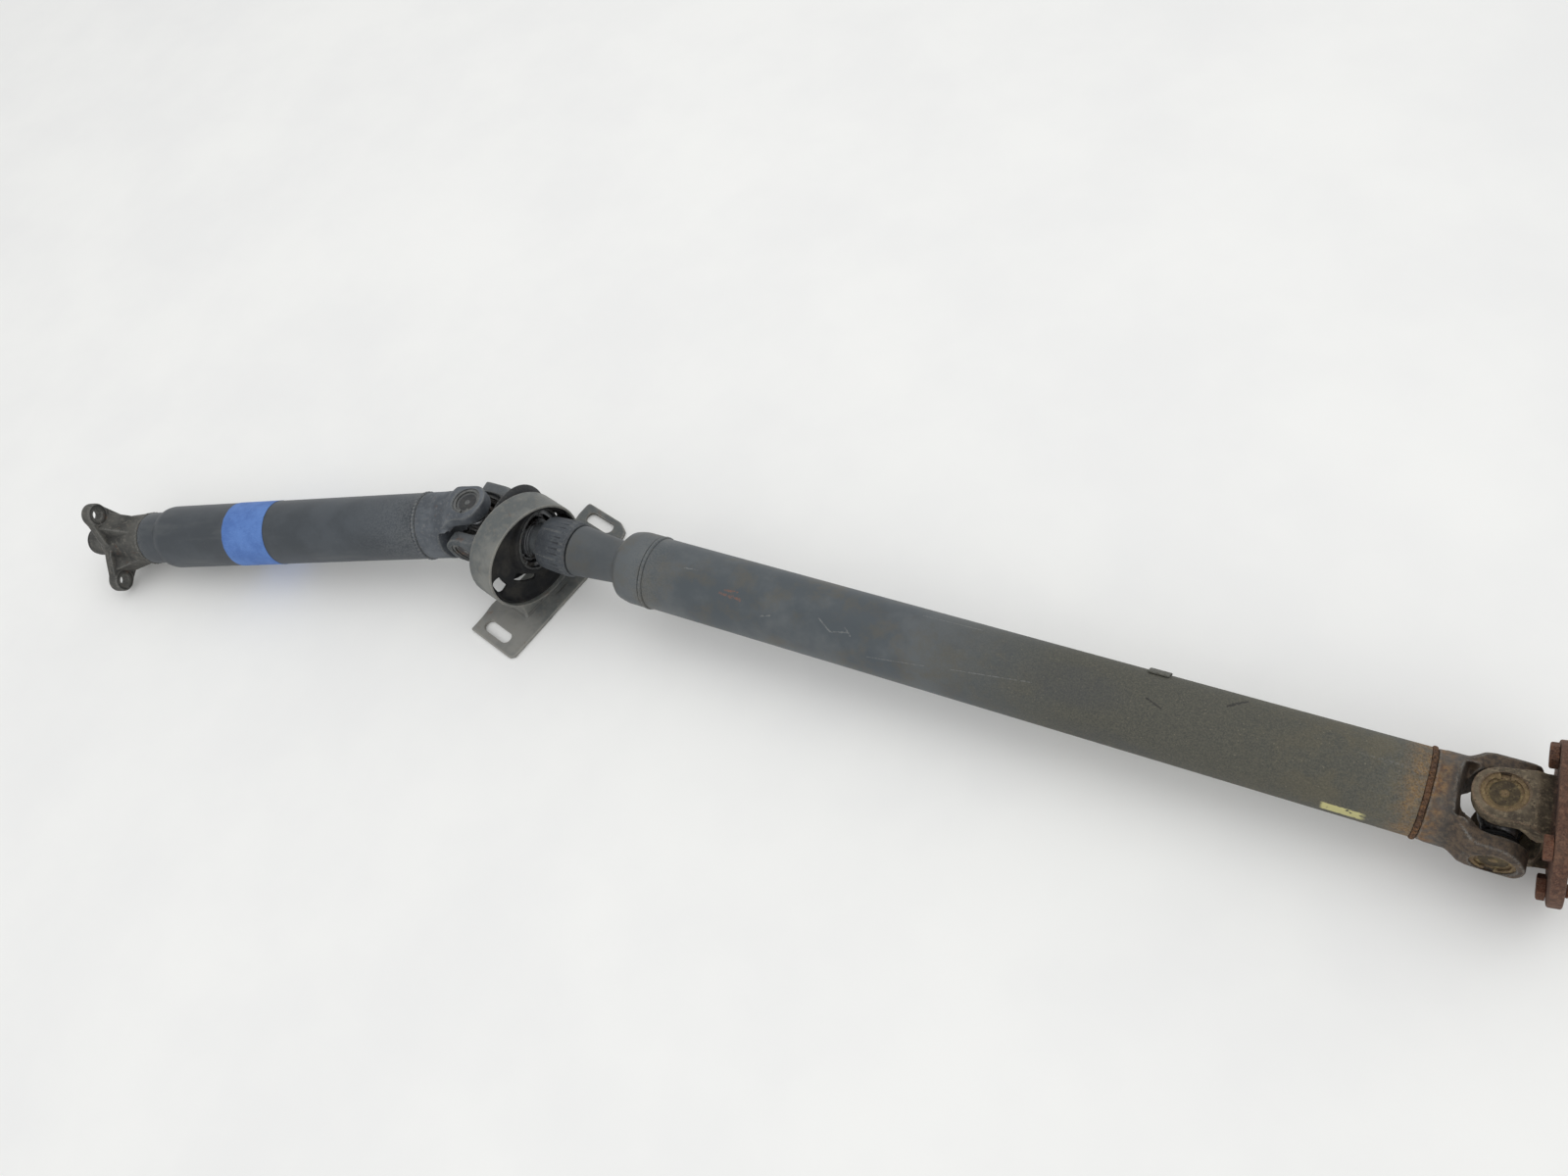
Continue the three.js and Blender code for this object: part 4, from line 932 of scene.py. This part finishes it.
finish_piece(seat(spider_flange(), FRONT), "front_shaft", "forged_steel", SPIDER_STEEL, "front_spider_flange")
finish_piece(turned("pilot_bush_ring", [(HUB_FRONT - 25, PILOT_R), (HUB_FRONT - 25, PILOT_R + 2.5), (HUB_FRONT - 4, PILOT_R + 2.5),
    (HUB_FRONT - 4, PILOT_R), (HUB_FRONT - 8, PILOT_R - 1), (HUB_FRONT - 21, PILOT_R - 1)], FRONT, 96),
    "front_shaft", "bronze", BRONZE, "pilot_bush")
finish_piece(turned("pilot_lip_seal", [(HUB_FRONT - 3.6, PILOT_R - 0.5), (HUB_FRONT - 3.6, PILOT_R + 2.5), (HUB_FRONT + 0.4, PILOT_R + 2.5),
    (HUB_FRONT + 0.4, 15), (HUB_FRONT + 3, 14.6), (HUB_FRONT + 5, 12.5), (HUB_FRONT + 5, PILOT_R - 2.5), (HUB_FRONT + 2, PILOT_R - 2.5)],
    FRONT, 96, 0.5), "front_shaft", "black_rubber", SEAL_RUBBER, "pilot_seal")

# %% [markdown]
# ## Support bearing
# A grooved ball bearing on the journal, a pressed dust shield in front of it and a thin
# carrier round it. The races are turned with a real ball groove. Nine balls are set
# round the axis by the tree, over a thin cage.

# %% Support bearing
half = 6.5
groove = lambda mid, sign: [(mid + 3.9 * math.sin(math.radians(a)), 21.25 + sign * 3.9 * math.cos(math.radians(a)))
                            for a in range(-54, 55, 9)]
finish_piece(turned("inner_race", [(BEARING_X - half, 15.3), (BEARING_X - half, 19)] + groove(BEARING_X, -1)
    + [(BEARING_X + half, 19), (BEARING_X + half, 15.3)], REAR, 96, 0.3), "centre_shaft", "bright_steel", BRIGHT_STEEL, "bearing_inner_race")
finish_piece(turned("outer_race", [(-half, 27.5), (-half, 23.5)] + groove(0, 1) + [(half, 23.5), (half, 27.5)],
    BEARING, 96, 0.3), "bracket", "bright_steel", BRIGHT_STEEL, "bearing_outer_race")
finish_piece(turned("carrier_shell", [(-half - 1, 24.6), (-half - 1, 27.8), (half + 3, 27.8), (half + 3, 30), (-half - 2.6, 30),
    (-half - 2.6, 24.6)], BEARING, 96, 0.5), "bracket", "bracket_steel", SHIELD_BLACK, "bearing_carrier")
finish_piece(turned("bearing_clip", [(BEARING_X + half + 0.4, 15.3), (BEARING_X + half + 0.4, 18.4), (BEARING_X + half + 2.2, 18.4),
    (BEARING_X + half + 2.2, 15.3)], REAR, 96, 0.3), "centre_shaft", "bright_steel", BRIGHT_STEEL, "bearing_snap_ring")
bm = bmesh.new()
bmesh.ops.create_uvsphere(bm, u_segments=28, v_segments=18, radius=3.3)
balls = set_round(from_bmesh("balls_and_cage", bm), 9, 90, 21.25, BRIGHT_STEEL, Matrix())
cage = turned("cage", [(-1.6, 20.3), (-1.6, 22.2), (1.6, 22.2), (1.6, 20.3)], Matrix(), 96, 0.3)
boolean(balls, cage, "UNION")
finish_piece(seat(balls, BEARING), "ball_cage", "bright_steel", BRIGHT_STEEL, "bearing_balls")
finish_piece(turned("pressed_dust_shield", [(43.9, 17.8), (43.9, 35.6), (43.3, 38.2), (41.8, 41.6), (38.6, 45.6), (38.4, 46.3), (39.2, 46.8),
    (39.8, 46.7), (43.0, 42.6), (44.9, 38.6), (45.4, 35.8), (45.4, 17.8)], REAR, ease=0.5), "centre_shaft", "bracket_steel",
    SHIELD_BLACK, "dust_shield")

# %% [markdown]
# ## Worn rubber mount
# A thin rubber web hangs the bearing in the hoop. It has sagged to one side and torn
# windows let the light through. Web, sleeve and rim are melted together after the two
# larger windows are cut, so those edges are rounded like moulded rubber. The small
# window and the sleeve's bore are cut last.

# %% Rubber mount
hoop_at = Matrix.Translation((0, HOOP_SIDE, HOOP_DROP))
sleeve_turn = Matrix.Rotation(-BRACKET_YAW, 4, "Z")

def window(mid, span, r0, r1, at=Matrix()):
    bm = bmesh.new()
    outline = arc(0, 0, r1, mid - span / 2, mid + span / 2, 20) + arc(0, 0, r0, mid + span / 2, mid - span / 2, 20)
    prism(bm, outline, -25, 25, at)
    return from_bmesh("window", bm)

bm = bmesh.new()
spun(bm, [(3, 0), (3, 30), (2.4, 38), (1.9, 44), (0.2, 47.4), (-3, 48.8), (-6, 49.1), (-6, HOOP_IN - 0.4), (12, HOOP_IN - 0.4), (12, 49.1),
          (9.5, 48.7), (7.8, 47.4), (6.1, 44), (5.6, 38), (6.6, 30), (6.6, 0)], ROUND, hoop_at)
rubber = from_bmesh("worn_rubber_ring", bm)
bm = bmesh.new()
spun(bm, [(-7, 0), (-7, 32.8), (-4, 33.6), (9, 34), (9, 0)], 96, sleeve_turn)
boolean(rubber, from_bmesh("sleeve", bm), "UNION")
for tool in (window(184, 26, 37, 47, hoop_at), window(220, 38, 36.5, 44.0)):
    boolean(rubber, tool)
melt(rubber, 0.9, 4)
boolean(rubber, window(354, 17, 31.2, 38.4))
bm = bmesh.new()
spun(bm, [(-40, 0), (-40, 30.3), (40, 30.3), (40, 0)], 96, sleeve_turn)
boolean(rubber, from_bmesh("sleeve bore", bm))
finish_piece(seat(rubber, STAND), "bracket", "black_rubber", RUBBER, "rubber_mount")

# %% [markdown]
# ## Bracket
# The bracket is thick sheet pressed into a hoop on a foot plate with a slot at each end.
# Plate, saddle and hoop are melted with a fine voxel, which rounds the sheared edges,
# and the slots are punched afterwards.

# %% Bracket
PLATE_T, PLATE_OUTLINE = 3.5, [(-25, -96.5), (33, -96.5), (37.4, -92.5), (35.6, 64.6), (33, 71), (21, 76.4), (-24, 76.4),
    (-26, 74), (-26, 61), (-23, 44), (-23, -40), (-27, -54), (-27.5, -66), (-25.4, -80)]

def bracket_pressing():
    bm = bmesh.new()
    prism(bm, PLATE_OUTLINE, SEAT_DROP, SEAT_DROP + PLATE_T, UPRIGHT)
    low, top = SEAT_DROP + 1, SEAT_DROP + 17
    saddle = ((44, low), (41.5, SEAT_DROP + PLATE_T + 1.5), (40.2, SEAT_DROP + 9), (40, top), (30, top), (20, low))
    for side in (-1, 1):
        prism(bm, [(HOOP_SIDE + side * v, z) for v, z in saddle], HOOP_FRONT, HOOP_REAR)
    foot = from_bmesh("bracket_pressing", bm)
    bm = bmesh.new()
    spun(bm, [(HOOP_FRONT - 8, 0), (HOOP_FRONT - 8, HOOP_IN + 0.8), (HOOP_REAR + 8, HOOP_IN + 0.8), (HOOP_REAR + 8, 0)], ROUND, hoop_at)
    melt(foot, 0.8, 1)
    boolean(foot, from_bmesh("hoop space", bm))
    bm = bmesh.new()
    bm.from_mesh(foot.data)
    spun(bm, [(HOOP_FRONT, HOOP_IN), (HOOP_FRONT, HOOP_OUT), (HOOP_REAR, HOOP_OUT), (HOOP_REAR, HOOP_IN)], ROUND, hoop_at)
    bm.to_mesh(foot.data)
    bm.free()
    melt(foot, 0.72, 4)
    bm = bmesh.new()
    for u, v in ((1.8, -83), (2, 64.3)):
        outline = arc(u + 12, v, 6, -90, 90, 20) + arc(u - 12, v, 6, 90, 270, 20)
        prism(bm, outline, SEAT_DROP - 5, SEAT_DROP + 12, UPRIGHT)
    return boolean(foot, from_bmesh("slot punch", bm))

finish_piece(seat(bracket_pressing(), STAND), "bracket", "bracket_steel", BRACKET_STEEL, "bracket_hoop", "bracket_base")

# %% [markdown]
# ## Clamp nut
# A knurled sleeve nut squeezes a seal on the sliding stub. Its grip is a ring of shallow
# flutes: one flute cutter set round the nut by the tree.

# %% Clamp nut
nut = turned("clamp_nut_sleeve", [(76, 14.8), (76, 20.6), (76.8, 21.6), (79, 24.6), (84, 25.2), (104, 26.2), (110, 26), (112, 24.6),
    (112, 21.5), (108, 20.5), (100, 20.5), (100, 14.8)], Matrix(), ease=0.5)
bm = bmesh.new()
prism(bm, arc(0, 27.1, 1.25, 0, 360, 16)[:-1], 92, 105)
flutes = set_round(from_bmesh("flutes", bm), 30, 0, 0, NUT_STEEL, Matrix())
boolean(nut, flutes)
finish_piece(seat(nut, REAR), "clamp_nut", "forged_steel", NUT_STEEL, "clamp_nut")
finish_piece(turned("clamp_seal_ring", [(100.4, 13), (100.4, 20), (104, 20), (104, 13)], REAR, 96, 0.5),
             "clamp_nut", "black_rubber", SEAL_RUBBER, "clamp_seal")

# %% [markdown]
# ## Rear flange and its bolts
# The rear yoke grows out of a turned flange with a raised pilot ring. Four long hex
# bolts hang in it. One bolt, with its chamfered head, washer face and threads, is set
# round the bolt circle by the tree.

# %% Rear flange
def flange_yoke():
    hub = [(FLANGE_FACE - 6, 0), (FLANGE_FACE - 6, 24), (FLANGE_FACE, 33), (FLANGE_FACE + 5, 36), (FLANGE_FACE + 5, 0)]
    forging = yoke_forging("flange_forging", FLANGE_FACE + 3, [(24, 0), (24, 17), (27, 26), (34, 30), (34, 0)],
                           FLANGE_YOKE_BASE, REAR_SWING, hub)
    disc = turned("disc", [(FLANGE_FACE, 0), (FLANGE_FACE, FLANGE_R - 0.8), (FLANGE_FACE + 0.8, FLANGE_R), (FLANGE_FACE + FLANGE_T - 0.8, FLANGE_R),
        (FLANGE_FACE + FLANGE_T, FLANGE_R - 0.8), (FLANGE_FACE + FLANGE_T, 30), (FLANGE_FACE + FLANGE_T + 2.5, 30),
        (FLANGE_FACE + FLANGE_T + 2.5, 22), (FLANGE_FACE + 5, 20), (FLANGE_FACE + 5, 0)], Matrix(), ease=0.5)
    boolean(forging, disc, "UNION")
    bm = bmesh.new()
    for deg in (45, 135, 225, 315):
        turn = Matrix.Rotation(math.radians(deg), 4, "X") @ Matrix.Translation((0, FLANGE_HOLES_R, 0))
        spun(bm, [(FLANGE_FACE - 3, 0), (FLANGE_FACE - 3, 6.2), (FLANGE_FACE + 0.5, 5.4), (FLANGE_FACE + 14, 5.4), (FLANGE_FACE + 14, 0)], 48, turn)
    return boolean(forging, from_bmesh("bolt holes", bm))

finish_piece(seat(flange_yoke(), FLANGE), "rear_flange", "rusty_steel", REAR_EAR_STEEL, "rear_flange_yoke")

def flange_bolts():
    head_back, end = FLANGE_FACE - 0.4, FLANGE_FACE + FLANGE_T + 17
    bm = bmesh.new()
    hexagon = [(9.1 * math.cos(math.radians(60 * i)), 9.1 * math.sin(math.radians(60 * i))) for i in range(6)]
    prism(bm, hexagon, head_back - 5.4, head_back)
    head = from_bmesh("flange_bolt_set", bm)
    bm = bmesh.new()
    spun(bm, [(head_back - 5.6, 0), (head_back - 5.6, 7.6), (head_back - 4.3, 9.6), (head_back + 1, 9.6), (head_back + 1, 0)], 48)
    boolean(head, from_bmesh("chamfer", bm), "INTERSECT")
    thread = []
    x = FLANGE_FACE + FLANGE_T + 2
    while x < end - 1.6:
        thread += [(x, 5.0), (x + 0.55, 4.35)]
        x += 1.1
    bm = bmesh.new()
    spun(bm, [(head_back - 2, 0), (head_back - 2, 5.0)] + thread + [(end - 1.2, 5.0), (end, 4.0), (end, 0)], 32)
    boolean(head, from_bmesh("shank", bm), "UNION")
    return set_round(head, 4, 45, FLANGE_HOLES_R, BOLT_RUST, FLANGE)

finish_piece(flange_bolts(), "rear_flange", "rusty_steel", BOLT_RUST, *[f"flange_bolt_{i}" for i in range(1, 5)])

# %% [markdown]
# ## Bench, light and camera
# A pale bench top, one broad light above and behind, a weak fill, and a bright pale
# surround give the flat, nearly shadowless look of a white workshop table.

# %% Bench, light and camera
floor_mesh = bpy.data.meshes.new("bench")
normal = Vector((-0.00911, 0, 0.99996))
at = Vector((-0.2367, 0.0475, 0.0037 - 0.0008))
level = lambda x, y: at.z - (normal.x * (x - at.x) + normal.y * (y - at.y)) / normal.z
floor_mesh.from_pydata([(x, y, level(x, y)) for x, y in ((-4, -4), (4, -4), (4, 4), (-4, 4))], [], [(0, 1, 2, 3)])
bench = new_object("bench", floor_mesh)
bench_fin = Finish("pale bench top")
haze = bench_fin.noise(0.004, 4, 0.6)
bench.data.materials.append(bench_fin.coat(bench_fin.tint(haze.rise(0.3, 0.7), srgb(238, 238, 237), srgb(243, 243, 241)), 0.55 + haze * 0.1))

def area_light(name, spot, size, watts):
    light = bpy.data.lights.new(name, "AREA")
    light.shape, light.size, light.size_y, light.energy = "RECTANGLE", size[0], size[1], watts
    lamp = bpy.data.objects.new(name, light)
    bpy.context.scene.collection.objects.link(lamp)
    lamp.location = spot
    lamp.rotation_euler = (-Vector(spot)).to_track_quat("-Z", "Y").to_euler()

area_light("overhead panel", (0.1, 0.55, 1.6), (2.8, 1.4), 5)
area_light("front fill", (0.3, -1.5, 1.3), (2.0, 1.0), 3)

world = bpy.data.worlds.new("pale surround")
world.use_nodes = True
world.node_tree.nodes["Background"].inputs["Color"].default_value = (0.995, 1.0, 1.0, 1)
world.node_tree.nodes["Background"].inputs["Strength"].default_value = 0.86
bpy.context.scene.world = world
bpy.context.scene.view_settings.view_transform = "Standard"

camera_data = bpy.data.cameras.new("camera")
camera_data.lens, camera_data.sensor_width, camera_data.clip_start = 28.461, 36, 0.01
camera = bpy.data.objects.new("camera", camera_data)
bpy.context.scene.collection.objects.link(camera)
ahead, up = Vector((-0.40041, 0.39965, -0.82459)), Vector((-0.24642, 0.81977, 0.51697))
right = ahead.cross(up).normalized()
view = Matrix((right, right.cross(ahead).normalized(), -ahead.normalized())).transposed().to_4x4()
view.translation = (0.51301, -0.36397, 0.95274)
camera.matrix_world = view
bpy.context.scene.camera = camera

# %% [markdown]
# ## Piece count
# The pieces and the sum of their faces are counted and printed.

# %% Piece count
bpy.context.view_layer.update()
print(len(pieces), "pieces", sum(len(p.data.loop_triangles) or len(p.data.polygons) for p in pieces), "faces")
